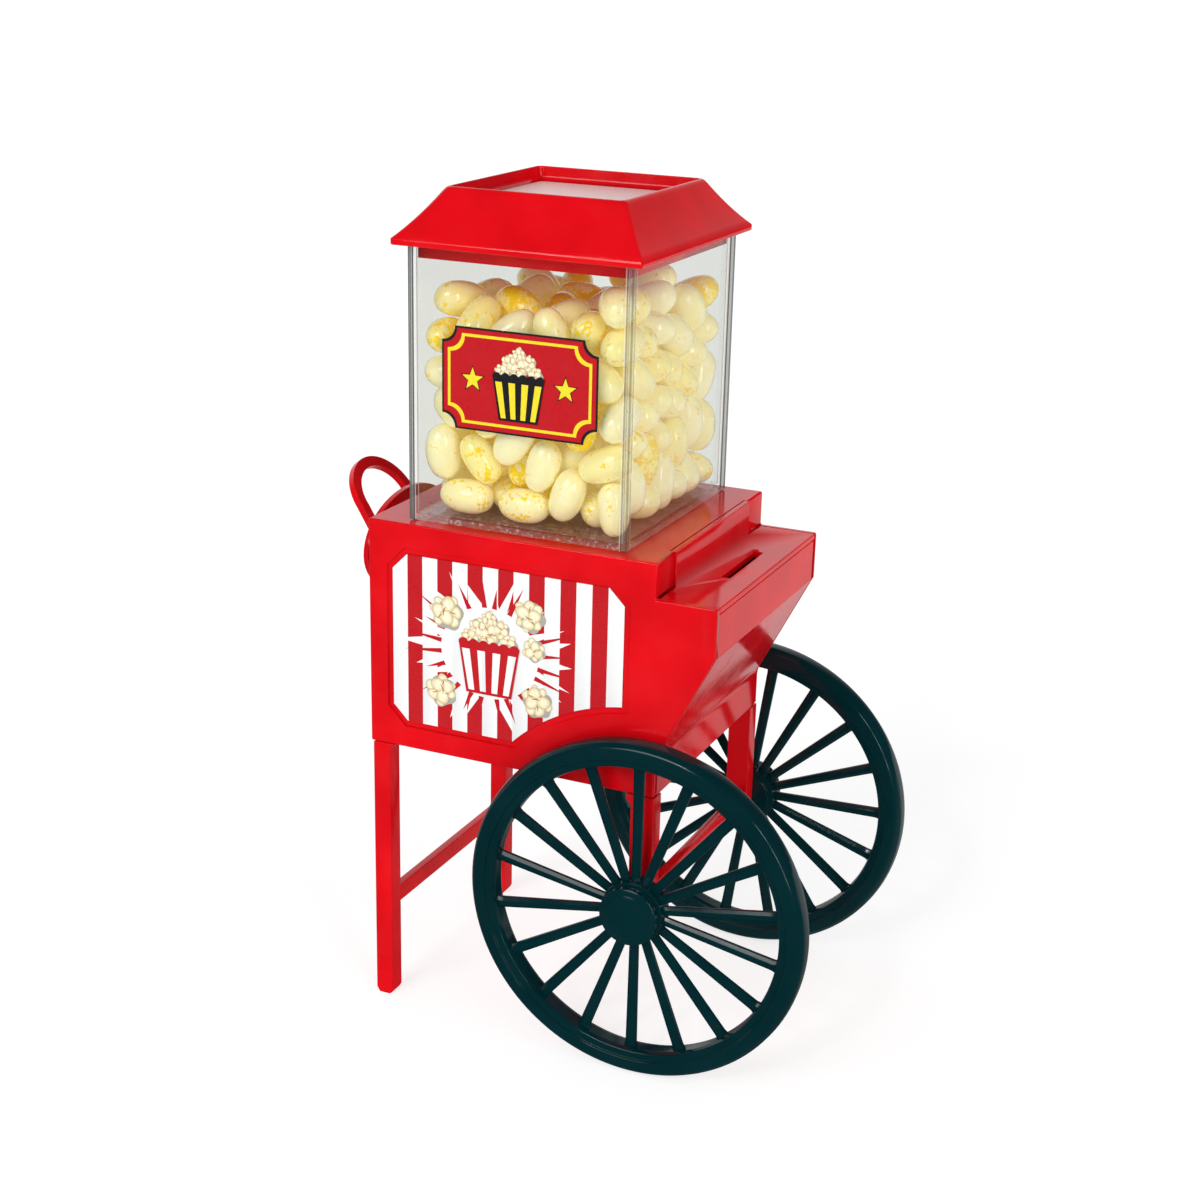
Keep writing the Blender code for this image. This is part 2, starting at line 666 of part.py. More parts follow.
def hub_cap(name, side):
    """Domed cap with a ring step, hollow over the pin's end and its push nut."""
    start = HUB_FACE + GAP
    top = CAP_OUT - start
    r = CAP_RADIUS
    room = 4.0 * MM
    profile = [(0.0, top), (r * 0.26, top - 0.07 * MM), (r * 0.48, top - 0.27 * MM),
               (r * 0.66, top - 0.58 * MM), (r * 0.79, top - 0.98 * MM), (r * 0.81, top - 1.25 * MM),
               (r * 0.96, top - 1.5 * MM), (r, top - 1.9 * MM), (r, 0.0), (room, 0.0),
               (room, CAP_ROOM), (0.0, CAP_ROOM)]
    cap = turned(name, profile, 40, (AXLE_X, side * (HALF + start), WHEEL_RADIUS), "Y" if side > 0 else "-Y")
    return paint(cap, WHEEL_PLASTIC)


def push_nut(name, side):
    """Ring on the pin that holds a wheel, inside its cap."""
    inner = AXLE_RADIUS + 0.05 * MM
    profile = [(inner, 0.6 * MM), (3.4 * MM, 0.6 * MM), (3.4 * MM, 0.0), (inner, 0.0), (inner, 0.6 * MM)]
    nut = turned(name, profile, 24, (AXLE_X, side * (HALF + HUB_FACE + GAP), WHEEL_RADIUS),
                 "Y" if side > 0 else "-Y")
    return paint(nut, STEEL_METAL)


# ---------------------------------------------------------------- hopper and lid

def hopper():
    low = DECK_Z + GAP
    glass = box("hopper", (HOPPER_X[0], -HOPPER_HALF_Y, low), (HOPPER_X[1], HOPPER_HALF_Y, HOPPER_TOP))
    bevel(glass, 0.5 * MM, 2)
    glass = bake(glass)
    cut(glass,
        box("hopper_room", (HOPPER_X[0] + GLASS, -HOPPER_HALF_Y + GLASS, low + GLASS),
            (HOPPER_X[1] - GLASS, HOPPER_HALF_Y - GLASS, HOPPER_TOP + MM)),
        cylinder("hopper_outlet", OUTLET_RADIUS, 9 * MM, (HOPPER_MID, 0, low)))
    return paint(glass, CLEAR_PLASTIC)


def bean_fill():
    edge = GLASS + FILL_GAP
    low = DECK_Z + GAP + GLASS + FILL_GAP
    fill = box("bean_fill", (HOPPER_X[0] + edge, -HOPPER_HALF_Y + edge, low),
               (HOPPER_X[1] - edge, HOPPER_HALF_Y - edge, FILL_TOP))
    bevel(fill, 4.0 * MM, 3)
    return paint(fill, BEAN_CANDY)


def roof_ring(inset_x, inset_y, z, radius):
    """A ring of corners, inset from the eave."""
    middle = at(HOPPER_MID, 0, 0)
    return [(middle.x + x, middle.y + y, z)
            for x, y in rounded_rectangle(EAVE_X / 2 - inset_x, EAVE_Y / 2 - inset_y, radius)]


def flare(up, lowered=0.0):
    """Ring of the roof's concave sides; up runs from the eave to the rim."""
    base = EAVE_Z + FASCIA
    z = base + (ROOF_TOP - base) * (0.76 * up + 0.24 * up * up) - lowered
    return roof_ring((EAVE_X - RIM_X) / 2 * up, (EAVE_Y - RIM_Y) / 2 * up, z, (0.6 + 1.4 * up) * MM)


def rim_ring(beyond, z, radius):
    """Ring near the roof's rim, moved in from the rim's outer edge."""
    return roof_ring((EAVE_X - RIM_X) / 2 + beyond, (EAVE_Y - RIM_Y) / 2 + beyond, z, radius)


def roof_lid():
    """Flared roof with a sunk pan on top and a skirt that plugs into the hopper."""
    steps = 7
    rings = [roof_ring(0.3 * MM, 0.3 * MM, EAVE_Z, 0.6 * MM),
             roof_ring(0.0, 0.0, EAVE_Z + 0.3 * MM, 0.6 * MM)]
    rings += [flare(0.93 * i / steps) for i in range(steps + 1)]
    rings += [rim_ring(-0.2 * MM, ROOF_TOP - 0.45 * MM, 2.0 * MM),
              rim_ring(0.35 * MM, ROOF_TOP - 0.08 * MM, 1.9 * MM),
              rim_ring(0.8 * MM, ROOF_TOP, 1.8 * MM),
              rim_ring(1.3 * MM, ROOF_TOP - 0.15 * MM, 1.6 * MM),
              rim_ring(1.5 * MM, ROOF_TOP - PAN_STEP, 1.5 * MM),
              rim_ring(2.0 * MM, ROOF_TOP - PAN_STEP - 0.2 * MM, 1.3 * MM),
              rim_ring(2.2 * MM, ROOF_TOP - PAN_DEPTH, 1.2 * MM)]
    lid = loft("roof_lid", rings)
    room = [roof_ring(LID_WALL, LID_WALL, EAVE_Z - MM, 0.4 * MM)]
    room += [flare(up, 2 * LID_WALL) for up in (0.11, 0.3, 0.5, 0.66, 0.76)]
    cut(lid, loft("lid_room", room))
    outer_x = HOPPER_HALF_X - GLASS - 0.4 * MM
    outer_y = HOPPER_HALF_Y - GLASS - 0.4 * MM
    inner_x = outer_x - 1.6 * MM
    inner_y = outer_y - 1.6 * MM
    top = EAVE_Z + FASCIA + 5.6 * MM
    skirt = box("lid_skirt", (HOPPER_MID - outer_x, -outer_y, SKIRT_BOTTOM),
                (HOPPER_MID + outer_x, outer_y, top))
    cut(skirt, box("lid_skirt_room", (HOPPER_MID - inner_x, -inner_y, SKIRT_BOTTOM - MM),
                   (HOPPER_MID + inner_x, inner_y, top + MM)))
    join(lid, bake(skirt))
    return paint(lid, RED_PLASTIC)


def badge_outline():
    """Ticket shape: a rectangle with scooped corners."""
    x = BADGE_X / 2
    z = BADGE_Z / 2
    scoop = 4.5 * MM
    points = arc((-x, -z), scoop, 90, 0, 6)
    points += arc((x, -z), scoop, 180, 90, 6)
    points += arc((x, z), scoop, 270, 180, 6)
    points += arc((-x, z), scoop, 0, -90, 6)
    return points


def hopper_badge():
    y = -HOPPER_HALF_Y - GAP - BADGE_THICK / 2
    badge = outline("hopper_badge", badge_outline(), BADGE_THICK,
                    at(BADGE_CENTRE[0], y, BADGE_CENTRE[1]), UPRIGHT)
    return paint(badge, STICKER_PAPER)


# ---------------------------------------------------------------- crank and dispenser

def crank_arch():
    """Arched band that leans outwards; its arms start inside the plate's thickness."""
    steps = 28
    outer = []
    inner = []
    for points, band in ((outer, 0.0), (inner, LOOP_BAND)):
        wide = LOOP_WIDE - band
        high = LOOP_HIGH - band
        foot = wide + LOOP_SPLAY * LOOP_ARM
        points.append((foot, 0.0))
        for i in range(steps + 1):
            angle = math.pi * i / steps
            points.append((wide * math.cos(angle), LOOP_ARM + high * math.sin(angle)))
        points.append((-foot, 0.0))
    centre = at(LOOP_FOOT_X, 0, LOOP_FOOT_Z)
    arch = outline("crank_arch", outer + list(reversed(inner)), LOOP_THICK, centre, FACING_X)
    lean = Matrix.Rotation(-LOOP_LEAN, 4, "Y")
    arch.matrix_world = Matrix.Translation(centre) @ lean @ Matrix.Translation(-centre) @ arch.matrix_world
    bevel(arch, 0.45 * MM, 2)
    return bake(arch)


def crank_handle():
    """Oval plate, the arch on it and the neck that takes the shaft, in one moulding."""
    points = []
    for i in range(48):
        angle = math.tau * i / 48
        points.append((PLATE_HALF_Y * math.cos(angle), PLATE_HALF_Z * math.sin(angle)))
    centre = at(PLATE_X + PLATE_THICK / 2, 0, CRANK_Z)
    handle = outline("crank_handle", points, PLATE_THICK, centre, FACING_X)
    bevel(handle, 0.5 * MM, 2)
    handle = bake(handle)
    neck_end = -0.8 * MM
    neck_start = PLATE_X + PLATE_THICK * 0.5
    neck = cylinder("crank_neck", NECK_RADIUS, neck_end - neck_start,
                    ((neck_end + neck_start) / 2, 0, CRANK_Z), "X", 32)
    join(handle, neck, crank_arch())
    bore = neck_end + MM - PLATE_X - WEB
    cut(handle, cylinder("crank_bore", SHAFT_RADIUS + RUN_GAP, bore,
                         (PLATE_X + WEB + bore / 2, 0, CRANK_Z), "X", 24),
        cylinder("crank_screw_hole", 1.3 * MM, 9 * MM, (PLATE_X, 0, CRANK_Z), "X", 16))
    return paint(handle, RED_PLASTIC)


def crank_screw():
    """Screw that draws the handle on to the shaft."""
    return screw("crank_screw", 2.8 * MM, 1.5 * MM, 1.1 * MM, 5.0 * MM,
                 (PLATE_X - GAP, 0, CRANK_Z), "X")


def drive_shaft():
    """Shaft from the handle through the rotor, with a hole in its end for the screw."""
    start = PLATE_X + WEB + GAP
    end = DIVIDER_X + 5.0 * MM
    shaft = cylinder("drive_shaft", SHAFT_RADIUS, end - start, ((start + end) / 2, 0, CRANK_Z), "X", 24)
    bevel(shaft, 0.4 * MM, 1)
    shaft = bake(shaft)
    cut(shaft, cylinder("shaft_screw_hole", 1.3 * MM, 10 * MM, (start, 0, CRANK_Z), "X", 16))
    return paint(shaft, STEEL_METAL)


def rotor():
    """Drum with three pockets that each take a few beans."""
    length = ROTOR_X[1] - ROTOR_X[0]
    middle = (ROTOR_X[0] + ROTOR_X[1]) / 2
    drum = cylinder("rotor", ROTOR_RADIUS, length, (middle, 0, CRANK_Z), "X", 48)
    cut(drum, cylinder("rotor_bore", SHAFT_RADIUS + RUN_GAP, 2 * length, (middle, 0, CRANK_Z), "X", 24))
    reach = ROTOR_RADIUS + 1.0 * MM
    for i in range(3):
        angle = math.radians(90 + 120 * i)
        place = (middle, reach * math.cos(angle), CRANK_Z + reach * math.sin(angle))
        cut(drum, cylinder("rotor_pocket", 8.2 * MM, length - 4.0 * MM, place, "X", 28))
    return paint(drum, WHITE_PLASTIC)


def rotor_housing():
    """Block round the rotor: open above to the hopper, below to the chute, right to its cover."""
    block = box("rotor_housing", (HOUSING_X[0], -HOUSING_HALF, HOUSING_BOTTOM),
                (HOUSING_X[1], HOUSING_HALF, DECK_Z - WALL - GAP))
    room = ROTOR_RADIUS + 0.5 * MM
    wall = HOUSING_X[0] + 1.8 * MM
    cut(block,
        cylinder("housing_room", room, 60 * MM, (wall + 30 * MM, 0, CRANK_Z), "X", 48),
        cylinder("housing_shaft_hole", SHAFT_RADIUS + GAP, 30 * MM, (HOUSING_X[0], 0, CRANK_Z), "X", 24),
        cylinder("housing_inlet", OUTLET_RADIUS, 20 * MM, (HOPPER_MID, 0, DECK_Z), "Z", 32),
        box("housing_outlet", (HOUSING_X[0] + 5 * MM, -9.5 * MM, HOUSING_BOTTOM - MM),
            (HOUSING_X[1] - 4 * MM, 9.5 * MM, CRANK_Z - 4 * MM)))
    return paint(block, WHITE_PLASTIC)


def housing_cover():
    start = HOUSING_X[1] + GAP
    cover = box("housing_cover", (start, -HOUSING_HALF, HOUSING_BOTTOM),
                (start + COVER_THICK, HOUSING_HALF, DECK_Z - WALL - GAP))
    cut(cover, cylinder("cover_shaft_hole", SHAFT_RADIUS + GAP, 30 * MM, (start, 0, CRANK_Z), "X", 24))
    return paint(cover, WHITE_PLASTIC)


def shaft_retainer():
    start = DIVIDER_X + 1.0 * MM
    inner = SHAFT_RADIUS + 0.05 * MM
    profile = [(inner, 1.2 * MM), (4.6 * MM, 1.2 * MM), (4.6 * MM, 0.0), (inner, 0.0), (inner, 1.2 * MM)]
    ring = turned("shaft_retainer", profile, 24, (start, 0, CRANK_Z), "X")
    return paint(ring, STEEL_METAL)


def chute():
    """Sloping channel, closed at its upper end, that comes out at the left end's mouth."""
    length = CHUTE_LENGTH
    outer = CHUTE_WIDE / 2
    bm = bmesh.new()
    bmesh.ops.create_cube(bm, size=1.0)
    bmesh.ops.scale(bm, vec=(length, 2 * outer, CHUTE_HIGH), verts=bm.verts)
    bmesh.ops.translate(bm, vec=(length / 2, 0.0, CHUTE_HIGH / 2), verts=bm.verts)
    low_end = at(-3.6 * MM, 0, MOUTH_Z[0] + 0.6 * MM)
    trough = put("chute", mesh_from("chute", bm), low_end)
    trough.rotation_euler = (0.0, -CHUTE_SLOPE, 0.0)
    bm = bmesh.new()
    bmesh.ops.create_cube(bm, size=1.0)
    inner = outer - CHUTE_WALL
    bmesh.ops.scale(bm, vec=(length, 2 * inner, CHUTE_HIGH), verts=bm.verts)
    bmesh.ops.translate(bm, vec=(length / 2 - CHUTE_WALL, 0.0, CHUTE_HIGH / 2 + CHUTE_WALL), verts=bm.verts)
    room = put("chute_room", mesh_from("chute_room", bm), low_end)
    room.rotation_euler = (0.0, -CHUTE_SLOPE, 0.0)
    cut(trough, room)
    return paint(trough, WHITE_PLASTIC)


remove_everything()
PARTS = collection("popcorn_cart")
CUTTERS = collection("cutters")
RED_PLASTIC = material("red_plastic", RED, 0.16)
WHEEL_PLASTIC = material("wheel_plastic", TEAL, 0.22)
CLEAR_PLASTIC = material("clear_plastic", CLEAR, 0.04, alpha=0.3)
BEAN_CANDY = material("bean_candy", BEAN, 0.25)
STICKER_PAPER = material("sticker_paper", WHITE, 0.3)
WHITE_PLASTIC = material("white_plastic", WHITE, 0.35)
STEEL_METAL = material("steel", STEEL, 0.3, metallic=1.0)
SOFT_BLACK = material("soft_black", BLACK, 0.7)


def main():
    body_shell()
    ledge_cover()
    front_panel()
    base_plate()
    bank_divider()
    bank_stopper()
    base_screws()
    sticker("near_sticker", -1)
    sticker("far_sticker", 1)
    legs()
    leg_stretcher()
    axle_stretcher()
    for name, side in (("near", -1), ("far", 1)):
        wheel(name + "_wheel", side)
        axle_pin(name + "_axle_pin", side)
        hub_cap(name + "_hub_cap", side)
        push_nut(name + "_push_nut", side)
    hopper()
    bean_fill()
    hopper_badge()
    roof_lid()
    crank_handle()
    crank_screw()
    drive_shaft()
    rotor()
    rotor_housing()
    housing_cover()
    shaft_retainer()
    chute()


main()
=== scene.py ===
"""Looks of the toy popcorn cart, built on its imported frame.

The red mouldings, the hub caps and the clear hopper are smooth-shaded stand-ins made
from their CAD nodes; the wheels, the beans and the printed labels are modelled here.
Lengths are metres, written as millimetres times MM.  +X runs from the crank end to
the ledge end, -Y is the near side and +Z is up.
"""
import json
import math

import bmesh
import bpy
import numpy as np
from mathutils import Matrix, Vector

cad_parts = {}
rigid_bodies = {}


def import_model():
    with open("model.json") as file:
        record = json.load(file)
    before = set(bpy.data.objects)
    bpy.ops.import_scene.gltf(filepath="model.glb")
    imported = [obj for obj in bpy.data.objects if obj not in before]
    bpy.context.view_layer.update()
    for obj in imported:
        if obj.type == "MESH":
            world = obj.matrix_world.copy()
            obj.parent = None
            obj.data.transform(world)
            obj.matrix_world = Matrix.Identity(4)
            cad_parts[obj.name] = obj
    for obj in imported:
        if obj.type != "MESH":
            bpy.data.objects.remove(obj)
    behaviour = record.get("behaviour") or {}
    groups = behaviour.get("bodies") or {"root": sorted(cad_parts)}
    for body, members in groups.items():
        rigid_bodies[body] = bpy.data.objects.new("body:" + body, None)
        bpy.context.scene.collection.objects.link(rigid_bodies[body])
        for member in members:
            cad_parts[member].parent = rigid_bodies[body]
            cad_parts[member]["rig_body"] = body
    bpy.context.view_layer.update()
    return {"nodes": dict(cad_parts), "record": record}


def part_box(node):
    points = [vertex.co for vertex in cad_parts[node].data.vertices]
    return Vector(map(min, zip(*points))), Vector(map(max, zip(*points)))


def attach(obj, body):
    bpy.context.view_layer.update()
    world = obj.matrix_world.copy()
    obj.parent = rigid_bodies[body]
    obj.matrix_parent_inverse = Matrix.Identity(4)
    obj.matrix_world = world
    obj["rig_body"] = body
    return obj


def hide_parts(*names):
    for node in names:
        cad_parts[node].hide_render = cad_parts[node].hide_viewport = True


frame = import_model()

MM = 0.001

# Places read from the frame
HOPPER_LOW, HOPPER_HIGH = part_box("hopper")
LID_LOW, LID_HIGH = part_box("roof_lid")
STICKER_LOW, STICKER_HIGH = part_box("near_sticker")
BADGE_LOW, BADGE_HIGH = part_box("hopper_badge")
WHEEL_LOW, WHEEL_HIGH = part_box("near_wheel")
AXLE = (WHEEL_LOW + WHEEL_HIGH) / 2              # middle of the near wheel
WHEEL_RADIUS = (WHEEL_HIGH.z - WHEEL_LOW.z) / 2

# Hopper and lid
GLASS = 2.0 * MM                                 # thickness of the hopper's walls and floor
PAN_DEPTH = (4.0 * MM, 6.0 * MM)                 # the roof pan's floor lies this far below its top

# Camera, found to match the photographed view
CAMERA_PLACE = (0.2547, -0.5721, 0.3503)
CAMERA_YAW = math.radians(24.13)
CAMERA_PITCH = math.radians(18.8)
CAMERA_ROLL = math.radians(1.38)
CAMERA_LENS = 60.8

# Stage: tones as (from, to, tone there, tone there)
FLOOR_RADIUS = 9.0
FLOOR_LIT = 0.42                                 # the part of the floor's tone that takes shadows
FLOOR_GLOW = 0.72                                # and the part that doesn't
FLOOR_MIRRORED = (-0.10, 0.25, 0.08, 0.78)       # along Y
SKY_MIRRORED = (0.45, 1.25, 0.04, 0.90)          # towards -X and +Y
SKY_FILL = 0.45

# Wheels
RIM_INNER = 48.0 * MM                            # radius inside the rim
RIM_HALF = 4.4 * MM                              # half the rim's width
RIM_STEPS = 144
HUB_STEPS = 72
SPOKES = 18
SPOKE_STEPS = 28
FAR_SPOKE_TURN = math.radians(8)                 # the far wheel rests turned on by this
SPOKE_HALF_WIDE = 1.9 * MM
SPOKE_HALF_DEEP = 1.25 * MM
SPOKE_ROOT = 0.9 * MM                            # how far a spoke reaches into the hub
SPOKE_TIP = 0.7 * MM                             # and into the rim
HUB_RADIUS = 10.2 * MM
HUB_HALF = 4.6 * MM
BORE_RADIUS = 1.58 * MM

# Beans
BEAN_COUNT = 182
BEAN_LENGTH = 17.5 * MM
BEAN_RADIUS = 5.5 * MM
BEAN_SEED = 11
BEAN_CLEARANCE = 0.25 * MM                       # from the settled heap to the walls
BEAN_SPARE = 0.1 * MM                            # how much of that a bean's shape may use
BEAN_SWELL = 1.015                               # shown radius beside the settled one
SPECKLED_SHARE = 0.17                            # beans that are speckled all over
# Steps, and the drop and the sideways shake in each
FALLS = ((450, 0.25 * MM, 0.40 * MM), (500, 0.12 * MM, 0.50 * MM), (500, 0.03 * MM, 0.0), (400, 0.0, 0.0))

# Printed labels
STRIPES = 15
STICKER_CUT = 5.1 * MM                           # chamfer of the sticker's corners
STICKER_ARCH = 64.6 * MM                         # radius of its arch over the wheel
LAYER = 0.02 * MM                                # height of one printed layer over the next
BURST_SPIKES = 24
BURST_CENTRE = -5.6 * MM                         # from the sticker's middle, along X


# ---------------------------------------------------------------- node trees

def ranged(tree, value, low, high, to_low, to_high):
    """Map a range smoothly on to another and clamp it."""
    node = tree.nodes.new("ShaderNodeMapRange")
    node.interpolation_type = "SMOOTHSTEP"
    for key, number in zip(("From Min", "From Max", "To Min", "To Max"), (low, high, to_low, to_high)):
        node.inputs[key].default_value = number
    tree.links.new(value, node.inputs["Value"])
    return node.outputs["Result"]


class Shade:
    """A material's node tree, built with short calls."""

    def __init__(self, name):
        self.material = bpy.data.materials.new(name)
        self.material.use_nodes = True
        self.tree = self.material.node_tree
        self.shader = self.tree.nodes["Principled BSDF"]
        self.output = self.tree.nodes["Material Output"]
        self.place = self.add("ShaderNodeTexCoord").outputs["Object"]

    def add(self, kind, **settings):
        node = self.tree.nodes.new(kind)
        for key, value in settings.items():
            setattr(node, key, value)
        return node

    def link(self, source, target):
        self.tree.links.new(source, target)

    def put(self, target, value):
        """Link a socket, or set a plain value."""
        if isinstance(value, bpy.types.NodeSocket):
            self.link(value, target)
        else:
            target.default_value = value

    def set(self, **values):
        """Plain values on the shader's own sockets; underscores stand for spaces."""
        for key, value in values.items():
            self.shader.inputs[key.replace("_", " ")].default_value = value

    def noise(self, scale, detail=3.0, roughness=0.55, stretch=None):
        node = self.add("ShaderNodeTexNoise")
        node.inputs["Scale"].default_value = scale
        node.inputs["Detail"].default_value = detail
        node.inputs["Roughness"].default_value = roughness
        place = self.place
        if stretch:
            mapping = self.add("ShaderNodeMapping")
            mapping.inputs["Scale"].default_value = stretch
            self.link(self.place, mapping.inputs["Vector"])
            place = mapping.outputs["Vector"]
        self.link(place, node.inputs["Vector"])
        return node.outputs["Fac"]

    def math(self, operation, first, second=0.0, third=0.0, clamp=False):
        node = self.add("ShaderNodeMath", operation=operation, use_clamp=clamp)
        for socket, value in zip(node.inputs, (first, second, third)):
            self.put(socket, value)
        return node.outputs[0]

    def spread(self, value, low, high, to_low=0.0, to_high=1.0):
        return ranged(self.tree, value, low, high, to_low, to_high)

    def mix(self, factor, first, second):
        node = self.add("ShaderNodeMix", data_type="RGBA")
        self.put(node.inputs["Factor"], factor)
        colours = [socket for socket in node.inputs if socket.type == "RGBA"]
        for socket, value in zip(colours, (first, second)):
            self.put(socket, value if isinstance(value, bpy.types.NodeSocket) else (*value, 1.0))
        return [socket for socket in node.outputs if socket.type == "RGBA"][0]

    def blend(self, factor, first, second):
        """A mix of two shaders."""
        node = self.add("ShaderNodeMixShader")
        for socket, value in zip(node.inputs, (factor, first, second)):
            self.link(value, socket)
        return node.outputs[0]

    def attribute(self, name):
        return self.add("ShaderNodeAttribute", attribute_name=name).outputs["Fac"]

    def bump(self, height, distance, strength=1.0, after=None):
        node = self.add("ShaderNodeBump")
        node.inputs["Strength"].default_value = strength
        node.inputs["Distance"].default_value = distance
        self.link(height, node.inputs["Height"])
        if after:
            self.link(after, node.inputs["Normal"])
        return node.outputs["Normal"]

    def edges(self, radius):
        """1 along the shape's edges and 0 on its faces."""
        rounded = self.add("ShaderNodeBevel", samples=4)
        rounded.inputs["Radius"].default_value = radius
        flat = self.add("ShaderNodeNewGeometry").outputs["Normal"]
        dot = self.add("ShaderNodeVectorMath", operation="DOT_PRODUCT")
        self.link(rounded.outputs["Normal"], dot.inputs[0])
        self.link(flat, dot.inputs[1])
        return self.spread(dot.outputs["Value"], 0.995, 0.90)

    def finish(self, colour=None, roughness=None, normal=None):
        for key, value in (("Base Color", colour), ("Roughness", roughness), ("Normal", normal)):
            if value is not None:
                self.link(value, self.shader.inputs[key])
        return self.material


def scratches(shade, scale, stretch):
    """Sparse fine scratches along one direction, 0 to 1."""
    lines = shade.noise(scale, 2.0, 0.5, stretch)
    return shade.spread(lines, 0.66, 0.72)


def moulded(name, colour, roughness, specular, grain, worn_and_lit):
    """Glossy moulded plastic: faint flow shades, smudges, fine scratches, edges lightened partly as scuffs
    and partly as a painted highlight.
    """
    shade = Shade(name)
    flow = shade.noise(38.0, 2.0, 0.5)
    cloud = shade.noise(240.0, 4.0, 0.6)
    dark = tuple(part * 0.90 for part in colour)
    light = tuple(min(1.0, part * 1.07) for part in colour)
    tone = shade.mix(shade.spread(flow, 0.32, 0.68), dark, light)
    speck = shade.math("MULTIPLY", shade.spread(cloud, 0.70, 0.80), 0.35)
    tone = shade.mix(speck, tone, tuple(part * 0.78 for part in colour))
    # Edges lightened in patches: partly scuffs, partly a painted highlight along the corners.
    scuff_and_highlight = shade.math("MULTIPLY", shade.edges(0.45 * MM), shade.spread(cloud, 0.42, 0.66, 0.02, 0.16))
    tone = shade.mix(scuff_and_highlight, tone, worn_and_lit)
    smudge = shade.spread(shade.noise(75.0, 5.0, 0.62), 0.40, 0.72, roughness, roughness + 0.09)
    lines = shade.math("ADD", scratches(shade, 520.0, (1.0, 1.0, 0.05)),
                       scratches(shade, 460.0, (0.06, 1.0, 1.0)))
    rough = shade.math("MULTIPLY_ADD", lines, 0.07, smudge)
    sink = shade.bump(shade.noise(26.0, 1.0, 0.4), 0.20 * MM, 0.5)
    skin = shade.bump(shade.noise(1500.0 * grain, 2.0, 0.5), 0.004 * MM, 0.6, sink)
    cut = shade.bump(lines, 0.004 * MM, 0.5, skin)
    shade.set(Specular_IOR_Level=specular)
    return shade.finish(tone, rough, cut)


def red_plastic():
    return moulded("moulded_red", (0.68, 0.0025, 0.0070), 0.09, 0.36, 1.0, (0.86, 0.13, 0.12))


def pan_painted_sheen():
    """The roof pan's floor: dulled by a fine sparked texture, its pale pink tone a painted reflection."""
    shade = Shade("textured_red_painted_sheen")
    grain = shade.noise(2600.0, 3.0, 0.6)
    # Painted reflection: the pale pink tone stands for light mirrored at a grazing angle across the pan's
    # floor.
    tone = shade.mix(shade.spread(grain, 0.3, 0.7), (0.76, 0.62, 0.60), (0.84, 0.74, 0.72))
    rough = shade.spread(grain, 0.25, 0.75, 0.22, 0.34)
    skin = shade.bump(grain, 0.012 * MM, 0.8)
    return shade.finish(tone, rough, skin)


def wheel_plastic():
    return moulded("moulded_teal", (0.0001, 0.0190, 0.0230), 0.11, 0.28, 0.7, (0.01, 0.07, 0.08))


def wall_masks(shade):
    """Where the hopper has its corner columns, their dark lines and painted glint, and its near and right
    walls: masks for the painted light in its haze.

    depth is measured inwards from the nearest pair of walls, so it is under one wall's
    thickness only where two walls meet.
    """
    split = shade.add("ShaderNodeSeparateXYZ")
    shade.link(shade.place, split.inputs[0])
    middle = (HOPPER_LOW + HOPPER_HIGH) / 2
    half = (HOPPER_HIGH - HOPPER_LOW) / 2
    off = [shade.math("SUBTRACT", split.outputs[i], middle[i]) for i in range(2)]
    inside = [shade.math("SUBTRACT", half[i], shade.math("ABSOLUTE", off[i])) for i in range(2)]
    depth = shade.math("MAXIMUM", inside[0], inside[1])
    # Painted light: grey corner columns, with dark lines at the walls' edges, stand for light running along
    # and mirrored in the walls.
    column = shade.spread(depth, 1.1 * GLASS, GLASS)
    outer = shade.spread(depth, 0.34 * GLASS, 0.16 * GLASS)
    inner = shade.math("MULTIPLY", shade.spread(depth, 0.75 * GLASS, 0.85 * GLASS), column)
    lines = shade.math("MAXIMUM", outer, inner)
    # Painted highlight: a bright line just inside each corner.
    painted_glint = shade.math("MULTIPLY", shade.spread(depth, GLASS, 1.05 * GLASS),
                       shade.spread(depth, 1.3 * GLASS, 1.2 * GLASS))
    near_corner = shade.math("MULTIPLY", shade.spread(off[1], 0.0, -MM), shade.spread(off[0], 0.0, MM))
    # The near and right walls stay clear; the left and far walls pass less light, a painted shade.
    right_wall = shade.spread(off[0], half.x - 1.2 * GLASS, half.x - GLASS)
    near_wall = shade.spread(off[1], GLASS - half.y, 1.2 * GLASS - half.y, 1.0, 0.0)
    unshaded_side = shade.math("MAXIMUM", right_wall, near_wall)
    height = shade.math("SUBTRACT", split.outputs["Z"], HOPPER_LOW.z)
    base = shade.spread(height, 1.2 * GLASS, GLASS)
    return column, lines, painted_glint, near_corner, unshaded_side, base


